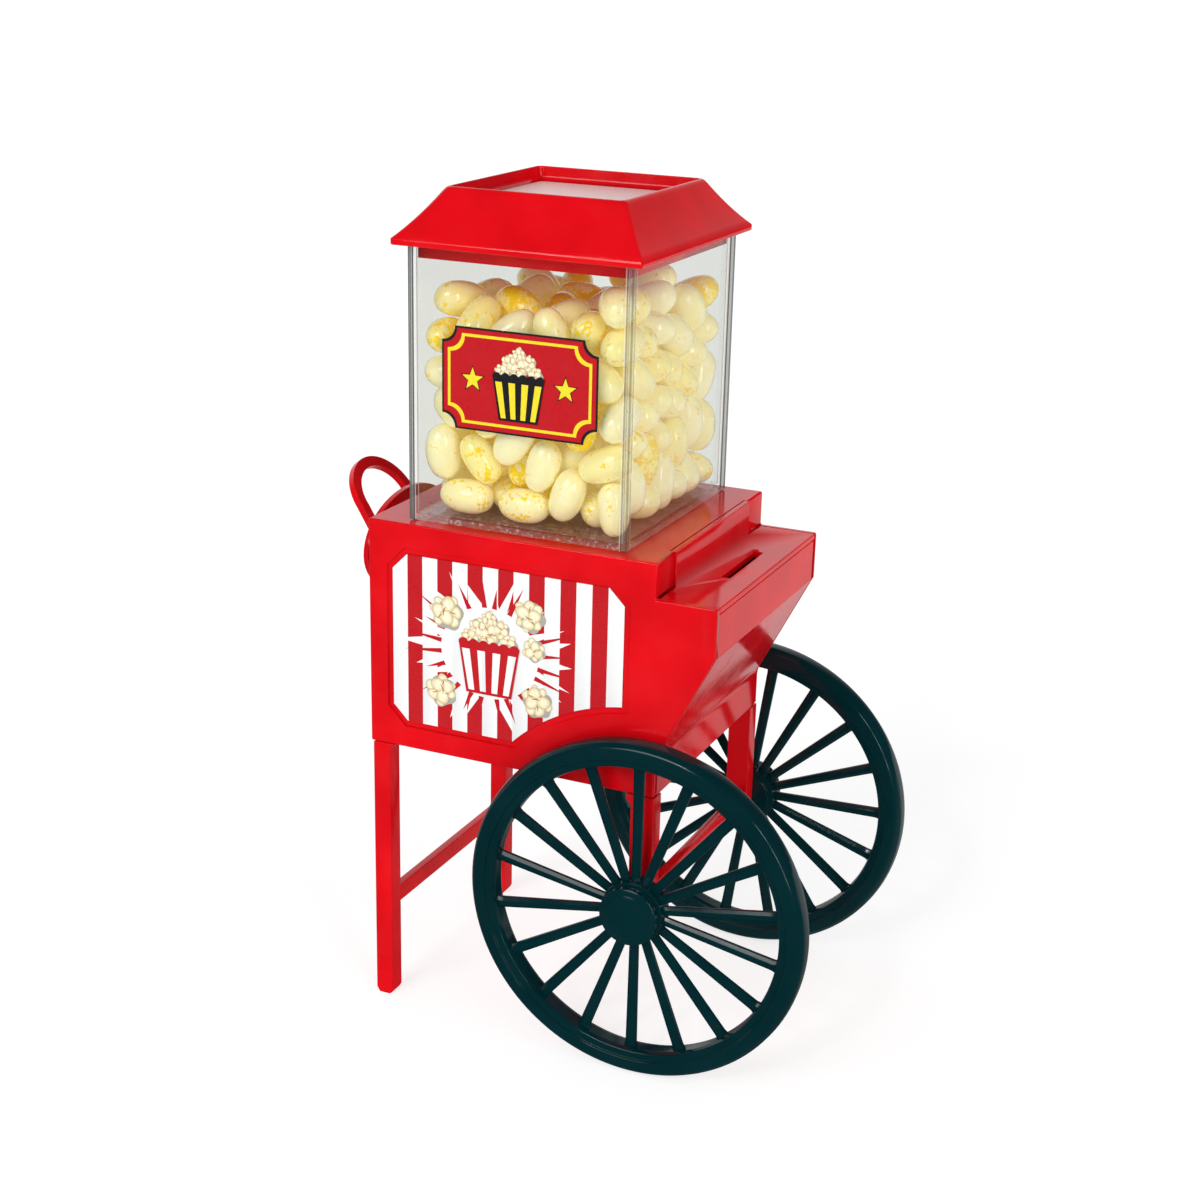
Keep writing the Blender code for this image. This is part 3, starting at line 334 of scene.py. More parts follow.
def clear_plastic():
    """Clear moulding with painted light in its haze: greyer where light runs along its walls, at its
    corners and its base, with dark lines and a bright glint at the corners.

    Light passes straight through the panes, less through the left and far ones as a painted shade; the
    shader's own colour only shows as haze.
    """
    shade = Shade("clear_moulding")
    column, lines, painted_glint, near_corner, unshaded_side, base = wall_masks(shade)
    # Flecks in the base's haze: partly specks in the moulding, partly a painted reflection of the red deck.
    flecks = shade.spread(shade.noise(750.0, 3.0, 0.6), 0.52, 0.66, 0.05, 0.36)
    smudge = shade.spread(shade.noise(55.0, 5.0, 0.65), 0.52, 0.80, 0.002, 0.02)
    strength = shade.math("MULTIPLY_ADD", near_corner, -0.42, 0.60)
    haze = shade.math("MULTIPLY_ADD", column, strength, shade.math("MULTIPLY", lines, 0.40))
    haze = shade.math("MAXIMUM", haze, shade.math("MULTIPLY", painted_glint, 0.40))
    haze = shade.math("MAXIMUM", haze, shade.math("MULTIPLY", base, flecks))
    haze = shade.math("ADD", haze, smudge, clamp=True)
    # Painted light: dark grey in the corner columns and darker still in their lines, pale pink where the
    # glint and the base haze show.
    grey = shade.mix(column, (0.80, 0.72, 0.70), (0.16, 0.185, 0.18))
    tone = shade.mix(lines, grey, (0.07, 0.085, 0.08))
    scored = scratches(shade, 420.0, (1.0, 1.0, 0.04))
    rough = shade.math("MULTIPLY_ADD", scored, 0.06, shade.spread(smudge, 0.002, 0.02, 0.02, 0.08))
    wave = shade.bump(shade.noise(30.0, 1.0, 0.4), 0.04 * MM, 0.4)
    facing = shade.add("ShaderNodeLayerWeight").outputs["Facing"]
    mirrored = shade.math("MULTIPLY_ADD", shade.math("POWER", facing, 5.0), 0.9, 0.035)
    through = shade.add("ShaderNodeBsdfTransparent")
    # Painted shade: the left and far walls let less light through than the near and right walls.
    shade.link(shade.mix(unshaded_side, (0.905, 0.918, 0.904), (0.986, 0.990, 0.986)), through.inputs["Color"])
    mirror = shade.add("ShaderNodeBsdfGlossy")
    shade.link(rough, mirror.inputs["Roughness"])
    shade.link(wave, mirror.inputs["Normal"])
    pane = shade.blend(mirrored, through.outputs[0], mirror.outputs[0])
    shade.link(shade.blend(haze, pane, shade.shader.outputs[0]), shade.output.inputs["Surface"])
    return shade.finish(tone, rough, wave)


def candy():
    """Cream sugar shell with yellow mottling that differs from bean to bean.

    Light scatters under the shell and from bean to bean; a faint glow stands for the rest of it.
    """
    shade = Shade("bean_shell")
    tint = shade.attribute("bean_tint")
    speckled = shade.attribute("bean_speckle")
    fine = shade.noise(820.0, 3.0, 0.6)
    coarse = shade.noise(230.0, 2.0, 0.5)
    both = shade.math("MULTIPLY_ADD", fine, 0.55, shade.math("MULTIPLY", coarse, 0.45))
    edge = shade.math("MULTIPLY_ADD", speckled, -0.20, 0.645)
    over = shade.math("SUBTRACT", both, edge)
    spots = shade.spread(over, -0.012, 0.022)
    cream = shade.mix(tint, (0.985, 0.90, 0.56), (0.985, 0.84, 0.33))
    cloudy = shade.mix(shade.spread(coarse, 0.35, 0.7, 0.0, 0.40), cream, (0.985, 0.94, 0.72))
    wash = shade.mix(shade.math("MULTIPLY", speckled, 0.5), cloudy, (0.985, 0.80, 0.14))
    tone = shade.mix(spots, wash, (0.985, 0.68, 0.01))
    rough = shade.spread(shade.noise(600.0, 4.0, 0.6), 0.35, 0.7, 0.16, 0.30)
    dents = shade.bump(shade.noise(170.0, 2.0, 0.5), 0.35 * MM, 0.35)
    skin = shade.bump(fine, 0.03 * MM, 0.35, dents)
    shade.link(tone, shade.shader.inputs["Emission Color"])
    shade.set(Specular_IOR_Level=0.45, Coat_Weight=0.6, Coat_Roughness=0.06, Emission_Strength=0.10,
              Subsurface_Weight=0.4, Subsurface_Scale=3.0 * MM, Subsurface_Radius=(1.0, 0.9, 0.5))
    return shade.finish(tone, rough, skin)


def print_white(name, width):
    """White vinyl with a soft grey shade across each stripe."""
    shade = Shade(name)
    split = shade.add("ShaderNodeSeparateXYZ")
    shade.link(shade.place, split.inputs[0])
    across = shade.math("DIVIDE", shade.math("SUBTRACT", split.outputs["X"], STICKER_LOW.x), 2 * width)
    turn = shade.math("FRACT", across)
    soft = shade.spread(turn, 0.0, 0.5)
    height = shade.math("DIVIDE", shade.math("SUBTRACT", split.outputs["Z"], STICKER_LOW.z),
                        STICKER_HIGH.z - STICKER_LOW.z)
    fall = shade.spread(height, 0.1, 1.0, 0.9, 0.15)
    grey = shade.math("MULTIPLY", shade.math("SUBTRACT", 1.0, soft), fall)
    tone = shade.mix(shade.math("MULTIPLY", grey, 0.55), (0.85, 0.85, 0.85), (0.64, 0.65, 0.66))
    fleck = shade.spread(shade.noise(900.0, 3.0, 0.6), 0.70, 0.78, 0.0, 0.12)
    tone = shade.mix(fleck, tone, (0.55, 0.52, 0.50))
    rough = shade.spread(shade.noise(120.0, 4.0, 0.6), 0.35, 0.7, 0.26, 0.38)
    skin = shade.bump(shade.noise(1800.0, 2.0, 0.5), 0.003 * MM, 0.6)
    shade.set(Specular_IOR_Level=0.2)
    return shade.finish(tone, rough, skin)


def printed(name, colour, darker=0.88):
    """One flat ink on vinyl, with a trace of print grain."""
    shade = Shade(name)
    grain = shade.noise(1400.0, 3.0, 0.6)
    tone = shade.mix(shade.spread(grain, 0.3, 0.75), colour, tuple(part * darker for part in colour))
    rough = shade.spread(shade.noise(120.0, 4.0, 0.6), 0.35, 0.7, 0.26, 0.38)
    skin = shade.bump(grain, 0.003 * MM, 0.5)
    shade.set(Specular_IOR_Level=0.2)
    return shade.finish(tone, rough, skin)


def printed_puff():
    """Popcorn as printed: ivory domes that darken to tan at their rims."""
    shade = Shade("print_popcorn")
    rim = shade.attribute("rim")
    mottle = shade.noise(700.0, 3.0, 0.6)
    body = shade.mix(shade.spread(mottle, 0.35, 0.7), (0.93, 0.88, 0.68), (0.84, 0.76, 0.50))
    ringed = shade.mix(shade.spread(rim, 0.45, 1.0), body, (0.66, 0.54, 0.28))
    tone = shade.mix(shade.spread(rim, 0.93, 1.0), ringed, (0.45, 0.34, 0.16))
    rough = shade.spread(mottle, 0.35, 0.7, 0.26, 0.36)
    skin = shade.bump(mottle, 0.004 * MM, 0.5)
    return shade.finish(tone, rough, skin)


def white_plastic():
    return moulded("moulded_white", (0.80, 0.79, 0.76), 0.30, 0.35, 1.0, (0.9, 0.9, 0.88))


def soft_rubber():
    shade = Shade("soft_rubber")
    dust = shade.spread(shade.noise(300.0, 5.0, 0.65), 0.45, 0.75)
    tone = shade.mix(dust, (0.016, 0.016, 0.018), (0.045, 0.043, 0.042))
    rough = shade.spread(shade.noise(800.0, 3.0, 0.6), 0.3, 0.7, 0.55, 0.80)
    skin = shade.bump(shade.noise(1600.0, 3.0, 0.6), 0.01 * MM, 0.7)
    return shade.finish(tone, rough, skin)


def plated_steel():
    shade = Shade("plated_steel")
    brushed = shade.noise(900.0, 4.0, 0.6, (1.0, 0.08, 1.0))
    stain = shade.spread(shade.noise(260.0, 4.0, 0.6), 0.5, 0.75)
    tone = shade.mix(stain, (0.62, 0.62, 0.63), (0.45, 0.43, 0.40))
    rough = shade.spread(brushed, 0.3, 0.7, 0.20, 0.42)
    skin = shade.bump(brushed, 0.004 * MM, 0.6)
    shade.set(Metallic=1.0)
    return shade.finish(tone, rough, skin)


# ---------------------------------------------------------------- pieces

def linked(name, data):
    """A new object in the scene."""
    obj = bpy.data.objects.new(name, data)
    bpy.context.scene.collection.objects.link(obj)
    return obj


def add_piece(name, mesh, body, slot, materials, *replaced):
    """Put a mesh on a body, in the place of the CAD nodes that it replaces."""
    obj = linked(name, mesh)
    for material in materials:
        mesh.materials.append(material)
    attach(obj, body)
    if replaced:
        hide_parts(*replaced)
    return obj


def even_shading(obj, angle):
    """Smooth shading up to an angle in degrees, which keeps large faces flat beside round edges."""
    obj.data.shade_smooth()
    obj.data.set_sharp_from_angle(angle=math.radians(angle))
    mod = obj.modifiers.new("even shading", "WEIGHTED_NORMAL")
    mod.keep_sharp = True
    return obj


def smooth_copy(node, materials, angle=50.0, recolour=None):
    """A welded, smooth-shaded stand-in for a CAD node, on the node's own body.

    recolour gives each face the number of its material.
    """
    source = frame["nodes"][node]
    slot = next(part["material_slot"] for part in frame["record"]["subparts"] if part["node"] == node)
    bm = bmesh.new()
    bm.from_mesh(source.data)
    bmesh.ops.remove_doubles(bm, verts=bm.verts, dist=0.005 * MM)
    bmesh.ops.dissolve_limit(bm, angle_limit=math.radians(0.2), verts=bm.verts, edges=bm.edges)
    for face in bm.faces:
        face.material_index = recolour(face) if recolour else 0
    mesh = bpy.data.meshes.new(node + "_look")
    bm.to_mesh(mesh)
    bm.free()
    obj = add_piece(node + "_look", mesh, source["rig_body"], slot, materials, node)
    return even_shading(obj, angle)


def arc(centre, radius, start, end, steps):
    """Points of an arc, with its angles in degrees."""
    points = []
    for i in range(steps + 1):
        angle = math.radians(start + (end - start) * i / steps)
        points.append((centre[0] + radius * math.cos(angle), centre[1] + radius * math.sin(angle)))
    return points


def rounded(corners, steps=4):
    """A closed outline through corners (x, y, radius), each rounded with an arc."""
    points = []
    for i, (x, y, radius) in enumerate(corners):
        here = Vector((x, y))
        back = (Vector(corners[i - 1][:2]) - here).normalized()
        onward = (Vector(corners[(i + 1) % len(corners)][:2]) - here).normalized()
        half = back.angle(onward) / 2
        if radius == 0.0 or half > 1.55:
            points.append((x, y))
            continue
        centre = here + (back + onward).normalized() * radius / math.sin(half)
        start = here + back * radius / math.tan(half) - centre
        end = here + onward * radius / math.tan(half) - centre
        first = math.atan2(start.y, start.x)
        sweep = (math.atan2(end.y, end.x) - first + math.pi) % math.tau - math.pi
        for k in range(steps + 1):
            angle = first + sweep * k / steps
            points.append((centre.x + radius * math.cos(angle), centre.y + radius * math.sin(angle)))
    return points


def lathe(bm, profile, steps, place):
    """Turn a closed profile of (radius, height) round the local Z axis of place."""
    rows = []
    for radius, height in profile:
        row = []
        for i in range(steps):
            angle = math.tau * i / steps
            point = Vector((radius * math.cos(angle), radius * math.sin(angle), height))
            row.append(bm.verts.new(place @ point))
        rows.append(row)
    for low, high in zip(rows, rows[1:] + rows[:1]):
        for i in range(steps):
            j = (i + 1) % steps
            bm.faces.new((low[i], low[j], high[j], high[i]))


def bridge(bm, rings):
    """Join rings of corners into a closed tube with end caps."""
    rows = [[bm.verts.new(point) for point in ring] for ring in rings]
    count = len(rows[0])
    for low, high in zip(rows, rows[1:]):
        for i in range(count):
            j = (i + 1) % count
            bm.faces.new((low[i], low[j], high[j], high[i]))
    bm.faces.new(rows[-1])
    bm.faces.new(reversed(rows[0]))


def mesh_of(name, bm):
    """Turn a bmesh into a mesh whose faces all look outwards."""
    bmesh.ops.recalc_face_normals(bm, faces=bm.faces)
    mesh = bpy.data.meshes.new(name)
    bm.to_mesh(mesh)
    bm.free()
    return mesh


# ---------------------------------------------------------------- wheels

def rim_section():
    """Crowned tread, round shoulders, a stepped inner lip on both faces."""
    r = WHEEL_RADIUS
    w = RIM_HALF
    half = [(r, 0.0, 0.0), (r - 0.25 * MM, w * 0.55, 2.2 * MM), (r - 1.7 * MM, w * 0.97, 1.7 * MM),
            (RIM_INNER + 3.1 * MM, w, 0.35 * MM), (RIM_INNER + 2.7 * MM, w - 0.65 * MM, 0.25 * MM),
            (RIM_INNER + 0.5 * MM, w - 0.95 * MM, 0.6 * MM), (RIM_INNER, w * 0.45, 0.8 * MM)]
    other = [(radius, -height, bend) for radius, height, bend in reversed(half[1:])]
    return rounded(half + other)


def spoke_section():
    """Ridged section: a flat crest, two slopes and rounded flanks, on both faces."""
    a = SPOKE_HALF_WIDE
    b = SPOKE_HALF_DEEP
    quarter = [(a, b * 0.22), (a * 0.93, b * 0.50), (a * 0.46, b * 0.93), (a * 0.36, b)]
    upper = quarter + [(-x, y) for x, y in reversed(quarter)]
    return upper + [(-x, -y) for x, y in upper]


def spoke_scale(along):
    """Size of a spoke's section, which grows outwards and flares at the hub and the rim.

    along runs from 0 at the hub to 1 at the rim.
    """
    near_hub = max(0.0, 1.0 - along / 0.07)
    near_rim = max(0.0, 1.0 - (1.0 - along) / 0.06)
    return 0.80 + 0.18 * along + 0.12 * near_hub ** 2 + 0.45 * near_rim ** 2


def hub_section():
    """A plain boss with a small step round each face."""
    w = HUB_HALF
    r = HUB_RADIUS
    upper = [(BORE_RADIUS, w, 0.0), (r - 1.6 * MM, w, 0.3 * MM), (r - 1.5 * MM, w - 1.0 * MM, 0.2 * MM),
             (r, w - 1.4 * MM, 0.4 * MM)]
    lower = [(radius, -height, bend) for radius, height, bend in reversed(upper)]
    return rounded(upper + lower, 3)


def wheel(side_name, side):
    """Rim, hub and spokes of one wheel, which turns round the Y axis."""
    centre = Vector((AXLE.x, side * abs(AXLE.y), AXLE.z))
    place = Matrix.Translation(centre) @ Matrix.Rotation(math.radians(-90), 4, "X")
    bm = bmesh.new()
    lathe(bm, rim_section(), RIM_STEPS, place)
    lathe(bm, hub_section(), HUB_STEPS, place)
    section = spoke_section()
    start = HUB_RADIUS - SPOKE_ROOT
    end = RIM_INNER + SPOKE_TIP
    first = FAR_SPOKE_TURN if side > 0 else 0.0
    for i in range(SPOKES):
        turn = Matrix.Translation(centre) @ Matrix.Rotation(first + math.tau * i / SPOKES, 4, "Y")
        rings = []
        for k in range(SPOKE_STEPS + 1):
            along = (1 - math.cos(math.pi * k / SPOKE_STEPS)) / 2
            grow = spoke_scale(along)
            height = start + (end - start) * along
            rings.append([turn @ Vector((x * grow, y * (0.5 + 0.5 * grow), height)) for x, y in section])
        bridge(bm, rings)
    mesh = mesh_of(side_name + "_wheel_look", bm)
    obj = add_piece(side_name + "_wheel_look", mesh, side_name + "_wheel", "wheel_plastic",
                    [WHEEL_PLASTIC], side_name + "_wheel")
    even_shading(obj, 24.0)


# ---------------------------------------------------------------- beans

def neighbours(centres, reach):
    """Pairs of beans whose middles are closer than reach."""
    gaps = np.linalg.norm(centres[:, None, :] - centres[None, :, :], axis=2)
    first, second = np.nonzero(np.triu(gaps < reach, 1))
    return first, second


def settle(low, high):
    """Drop beans into the hopper; returns their middles, directions and sizes.

    Each bean is a stiff row of three balls, pushed out of its neighbours and the walls,
    below a ceiling that comes down with the heap. A bean keeps its direction if its balls meet.
    """
    rng = np.random.default_rng(BEAN_SEED)
    size = rng.uniform(0.94, 1.06, BEAN_COUNT)
    radius = BEAN_RADIUS * size
    reach = (BEAN_LENGTH / 2 - BEAN_RADIUS) * size
    room = high - low
    centres = low + room * 0.08 + rng.random((BEAN_COUNT, 3)) * room * [0.84, 0.84, 1.5]
    along = rng.normal(size=(BEAN_COUNT, 3)) * [1.0, 1.0, 0.6]
    along /= np.linalg.norm(along, axis=1)[:, None]
    lowest = low + radius[:, None]
    highest = high - radius[:, None]
    ceiling = low[2] + room[2] * 1.8
    moves = [(drop, shake) for steps, drop, shake in FALLS for _ in range(steps)]
    for step, (drop, shake) in enumerate(moves):
        if step % 8 == 0:
            first, second = neighbours(centres, BEAN_LENGTH * 1.2)
            apart = (radius[first] + radius[second])[:, None, None]
        centres[:, 2] -= drop
        centres[:, :2] += rng.normal(size=(BEAN_COUNT, 2)) * shake
        ceiling = max(high[2], ceiling - drop)
        highest[:, 2] = ceiling - radius
        arm = along * reach[:, None]
        balls = np.stack([centres - arm, centres, centres + arm], 1)
        gap = balls[first][:, :, None, :] - balls[second][:, None, :, :]
        distance = np.sqrt((gap * gap).sum(3)) + 1e-9
        overlap = np.clip(apart - distance, 0.0, None)
        push = gap * (overlap / distance)[..., None] * 0.6
        moved = np.zeros_like(balls)
        np.add.at(moved, first, push.sum(2))
        np.add.at(moved, second, -push.sum(1))
        hits = np.zeros(balls.shape[:2])
        np.add.at(hits, first, (overlap > 0).sum(2))
        np.add.at(hits, second, (overlap > 0).sum(1))
        balls += moved / np.maximum(hits / 3, 1.0)[..., None]
        balls = np.clip(balls, lowest[:, None, :], highest[:, None, :])
        centres = balls.mean(1)
        span = balls[:, 2] - balls[:, 0]
        length = np.linalg.norm(span, axis=1)[:, None]
        along = np.where(length > 0.01 * MM, span / (length + 1e-9), along)
    return centres, along, size


def bean_shape(rings=15, sides=22):
    """One bean lying along X: a rounded, slightly flattened shell."""
    power = 2.0 / 2.35
    points = []
    for i in range(1, rings):
        angle = math.pi * (i / rings - 0.5)
        x = math.copysign(abs(math.sin(angle)) ** power, angle)
        r = math.cos(angle) ** power
        for k in range(sides):
            turn = math.tau * k / sides
            points.append((x, r * math.cos(turn), r * math.sin(turn) * 0.96))
    points = [(-1.0, 0.0, 0.0)] + points + [(1.0, 0.0, 0.0)]
    faces = []
    for k in range(sides):
        after = (k + 1) % sides
        faces.append((0, 1 + after, 1 + k))
        last = 1 + (rings - 2) * sides
        faces.append((last + k, last + after, len(points) - 1))
        for i in range(rings - 2):
            low = 1 + i * sides
            faces.append((low + k, low + after, low + sides + after, low + sides + k))
    return np.array(points), faces


def beans():
    """The heap of beans, one joined mesh with a tint and a speckle value for each bean."""
    inset = GLASS + BEAN_CLEARANCE
    low = np.array(HOPPER_LOW) + inset
    high = np.array((HOPPER_HIGH.x, HOPPER_HIGH.y, LID_LOW.z)) - inset
    centres, along, size = settle(low, high)
    rng = np.random.default_rng(BEAN_SEED + 1)
    shape, shape_faces = bean_shape()
    points = []
    faces = []
    tints = []
    speckles = []
    for middle, direction, scale in zip(centres, along, size):
        side = np.cross(direction, rng.normal(size=3))
        side /= np.linalg.norm(side)
        other = np.cross(direction, side)
        bend = rng.uniform(0.02, 0.13)
        taper = rng.uniform(-0.07, 0.07)
        local = shape.copy()
        local[:, 1:] *= (1.0 + taper * shape[:, :1])
        local[:, 1] += bend * (0.4 - shape[:, 0] ** 2)
        local = local * [BEAN_LENGTH / 2, BEAN_RADIUS * BEAN_SWELL, BEAN_RADIUS * BEAN_SWELL] * scale
        placed = middle + local @ np.array([direction, side, other])
        placed = np.clip(placed, low - BEAN_SPARE, high + BEAN_SPARE)
        offset = len(points) * len(shape)
        points.append(placed)
        faces += [tuple(index + offset for index in face) for face in shape_faces]
        tints.append(np.full(len(shape), rng.random()))
        speckled = rng.random() < SPECKLED_SHARE
        amount = rng.uniform(0.75, 1.0) if speckled else rng.uniform(0.0, 0.45)
        speckles.append(np.full(len(shape), amount))
    mesh = bpy.data.meshes.new("beans")
    mesh.from_pydata(np.concatenate(points).tolist(), [], faces)
    for name, values in (("bean_tint", tints), ("bean_speckle", speckles)):
        layer = mesh.attributes.new(name, "FLOAT", "POINT")
        layer.data.foreach_set("value", np.concatenate(values).astype(np.float32))
    mesh.shade_smooth()
    add_piece("beans", mesh, "cart", "bean_candy", [BEAN_CANDY], "bean_fill")


# ---------------------------------------------------------------- printed labels

def clip(points, value, keep_above):
    """Cut an outline with a vertical line and keep one side of it."""
    kept = []
    for here, after in zip(points, points[1:] + points[:1]):
        inside = (here[0] >= value) == keep_above
        next_inside = (after[0] >= value) == keep_above
        if inside:
            kept.append(here)
        if inside != next_inside:
            share = (value - here[0]) / (after[0] - here[0])
            kept.append((value, here[1] + share * (after[1] - here[1])))
    return kept


class Print:
    """Flat shapes printed in layers on a plane that faces -Y or +Y.

    Points are (across, up) from the middle; across runs to the right as one looks at it.
    """

    def __init__(self, name, centre, face_y, side):
        self.name = name
        self.centre = centre
        self.face_y = face_y
        self.side = side
        self.bm = bmesh.new()
        self.rim = self.bm.verts.layers.float.new("rim")
        self.materials = []

    def point(self, place, level):
        x = self.centre[0] - self.side * place[0]
        return Vector((x, self.face_y + self.side * level * LAYER, self.centre[1] + place[1]))

    def index(self, material):
        if material not in self.materials:
            self.materials.append(material)
        return self.materials.index(material)

    def slab(self, points, level, material, depth=1.0):
        """A thin closed slab whose printed face lies on a level."""
        top = [self.bm.verts.new(self.point(place, level)) for place in points]
        low = [self.bm.verts.new(self.point(place, level - depth)) for place in points]
        faces = [self.bm.faces.new(top), self.bm.faces.new(reversed(low))]
        for i in range(len(points)):
            j = (i + 1) % len(points)
            faces.append(self.bm.faces.new((top[j], top[i], low[i], low[j])))
        for face in faces:
            face.material_index = self.index(material)

    def dome(self, centre, radius, level, material, turn=0.0, squash=1.0, steps=22):
        """A printed round blob: its rim value runs from 0 in the middle to 1 at its edge."""
        middle = self.bm.verts.new(self.point(centre, level + 0.9))
        middle[self.rim] = 0.0
        rows = []
        for share, lift in ((0.45, 0.8), (0.75, 0.55), (0.92, 0.25), (1.0, 0.0)):
            row = []
            for k in range(steps):
                angle = math.tau * k / steps
                wave = 1.0 + 0.05 * math.sin(3 * angle + turn * 5)
                x = radius * share * wave * math.cos(angle)
                y = radius * share * wave * math.sin(angle) * squash
                place = (centre[0] + x * math.cos(turn) - y * math.sin(turn),
                         centre[1] + x * math.sin(turn) + y * math.cos(turn))
                vert = self.bm.verts.new(self.point(place, level + lift))
                vert[self.rim] = share
                row.append(vert)
            rows.append(row)
        faces = []
        for k in range(steps):
            j = (k + 1) % steps
            faces.append(self.bm.faces.new((middle, rows[0][k], rows[0][j])))
            for low, high in zip(rows, rows[1:]):
                faces.append(self.bm.faces.new((low[k], high[k], high[j], low[j])))
        for face in faces:
            face.material_index = self.index(material)
            face.smooth = True

    def done(self, body, slot, *replaced):
        mesh = mesh_of(self.name, self.bm)
        add_piece(self.name, mesh, body, slot, self.materials, *replaced)


# Popcorn puff: lobes as (across, up, radius), hulls as (across, up, length, turn)
LOBES = [(-0.38, 0.24, 0.13), (0.36, 0.24, 0.15), (-0.12, 0.36, 0.18), (-0.35, -0.16, 0.17),
         (0.14, -0.36, 0.18), (0.31, -0.10, 0.21), (-0.22, 0.10, 0.25), (0.13, 0.18, 0.29),
         (-0.06, -0.16, 0.25)]
HULLS = [(-0.03, 0.02, 0.34, 0.9), (0.18, -0.12, 0.26, -0.5), (-0.24, -0.09, 0.24, 0.3),
         (-0.03, 0.28, 0.20, 2.0)]

# Puffs piled on a popcorn box: across, up, size, turn
PILE = [(0.0, 0.40, 0.40, 2.6), (-0.34, 0.26, 0.30, 0.3), (0.34, 0.27, 0.30, 2.1), (-0.02, 0.30, 0.34, 1.2),
        (-0.20, 0.46, 0.30, 4.0), (0.20, 0.47, 0.30, 5.1), (0.0, 0.62, 0.26, 0.8)]

# Loose puffs round the burst: across and up in millimetres, size in millimetres, turn
LOOSE = [(-15.1, 11.4, 10.6, 0.4), (13.8, 14.8, 9.8, 1.9), (15.4, 4.0, 7.2, 3.0),
         (-17.2, -15.0, 10.0, 4.1), (16.6, -13.0, 9.8, 5.4)]


def puff(art, centre, size, turn, level):
    """A popped corn: soft shadow, amber hull marks and ivory lobes."""
    art.slab(blob(centre, size * 0.50, turn, (0.05 * size, -0.06 * size)), level, PRINT_SHADE)
    c = math.cos(turn)
    s = math.sin(turn)

    def placed(x, y):
        return (centre[0] + size * (x * c - y * s), centre[1] + size * (x * s + y * c))

    for number, (x, y, radius) in enumerate(LOBES):
        art.dome(placed(x, y), radius * size, level + 1 + number * 0.5, PRINT_PUFF, turn + number,
                 0.88 + 0.12 * math.sin(number * 2.4))
    for x, y, length, lean in HULLS:
        art.slab(crescent(placed(x, y), length * size, turn + lean), level + 7, PRINT_HULL)


def blob(centre, radius, turn, shift):
    """A wavy round outline, moved off its centre by a shift."""
    points = []
    for k in range(28):
        angle = math.tau * k / 28
        r = radius * (1.0 + 0.09 * math.sin(5 * angle + turn))
        points.append((centre[0] + shift[0] + r * math.cos(angle),
                       centre[1] + shift[1] + r * math.sin(angle)))
    return points


def crescent(centre, length, turn):
    """A thin curved mark, thick in its middle."""
    outer = []
    inner = []
    for k in range(7):
        share = k / 6 - 0.5
        arch = 0.22 * (1 - 4 * share * share)
        outer.append((share, arch))
        inner.append((share, arch * 0.45))
    c = math.cos(turn) * length
    s = math.sin(turn) * length
    return [(centre[0] + x * c - y * s, centre[1] + x * s + y * c) for x, y in outer + inner[-2:0:-1]]


def popcorn_box(art, centre, size, level, dark, pale):
    """A striped tapering box with popcorn on top, as a plain pictogram."""
    cx, cy = centre
    top = 0.50 * size
    low = 0.36 * size
    high = 0.16 * size
    deep = -0.62 * size
    edge = 0.045 * size
    art.slab([(cx - low - edge, cy + deep - edge), (cx + low + edge, cy + deep - edge),
              (cx + top + edge, cy + high + edge), (cx - top - edge, cy + high + edge)], level, dark)
    bands = 7
    for i in range(0, bands, 2):
        a = i / bands * 2 - 1
        b = (i + 1) / bands * 2 - 1
        art.slab([(cx + low * a, cy + deep), (cx + low * b, cy + deep), (cx + top * b, cy + high),
                  (cx + top * a, cy + high)], level + 1, pale)
    teeth = 6
    width = (2 * top + 2 * edge) / teeth
    crown = []
    for i in range(teeth):
        crown += arc((cx - top - edge + width * (i + 0.5), cy + high), width / 2, 180, 0, 8)
    crown += [(cx + top, cy + high - 0.09 * size), (cx - top, cy + high - 0.09 * size)]
    art.slab(crown, level + 2, dark)
    for x, y, share, turn in PILE:
        puff(art, (cx + x * size, cy + y * size), share * size, turn, level - 9 + 2 * y)


def sticker_outline(centre, side):
    """The sticker's outline round its middle: chamfered corners and an arch over the wheel."""
    wide = STICKER_HIGH.x - STICKER_LOW.x
    high = STICKER_HIGH.z - STICKER_LOW.z
    wheel_centre = (AXLE.x - centre[0], AXLE.z - centre[1])
    begin = math.degrees(math.acos((wide / 2 - wheel_centre[0]) / STICKER_ARCH))
    end = 180.0 - math.degrees(math.asin((-high / 2 - wheel_centre[1]) / STICKER_ARCH))
    left = -wide / 2
    cut = STICKER_CUT
    points = [(left, -high / 2 + cut), (left + cut, -high / 2),
              *arc(wheel_centre, STICKER_ARCH, end, begin, 24),
              (-left, high / 2 - cut), (-left - cut, high / 2),
              (left + cut, high / 2), (left, high / 2 - cut)]
    return [(-side * x, z) for x, z in points]


def oval(across, up, angle):
    """A point of an oval round the middle."""
    return (across * math.cos(angle), up * math.sin(angle))


def burst(art, level):
    """An uneven white starburst with thin red darts between its spikes."""
    step = math.tau / BURST_SPIKES
    outline = []
    for i in range(BURST_SPIKES):
        angle = step * (i + 0.22 * math.sin(i * 2.1))
        reach = 1.0 + 0.09 * math.sin(i * 1.7) + 0.06 * math.sin(i * 4.3)
        outline.append(oval(28.5 * MM * reach, 25.5 * MM * reach, angle))
        outline.append(oval(17.5 * MM, 15.5 * MM, angle + step * 0.45))
    art.slab(outline, level, PRINT_WHITE)
    for i in range(BURST_SPIKES):
        angle = step * (i + 0.5 + 0.12 * math.sin(i * 2.9))
        reach = 1.0 + 0.14 * math.sin(i * 2.3)
        root = step * 0.20
        tip = oval(28.0 * MM * reach, 24.5 * MM * reach, angle)
        art.slab([oval(17.0 * MM, 15.0 * MM, angle - root), tip, oval(17.0 * MM, 15.0 * MM, angle + root)],
                 level + 1, PRINT_RED)


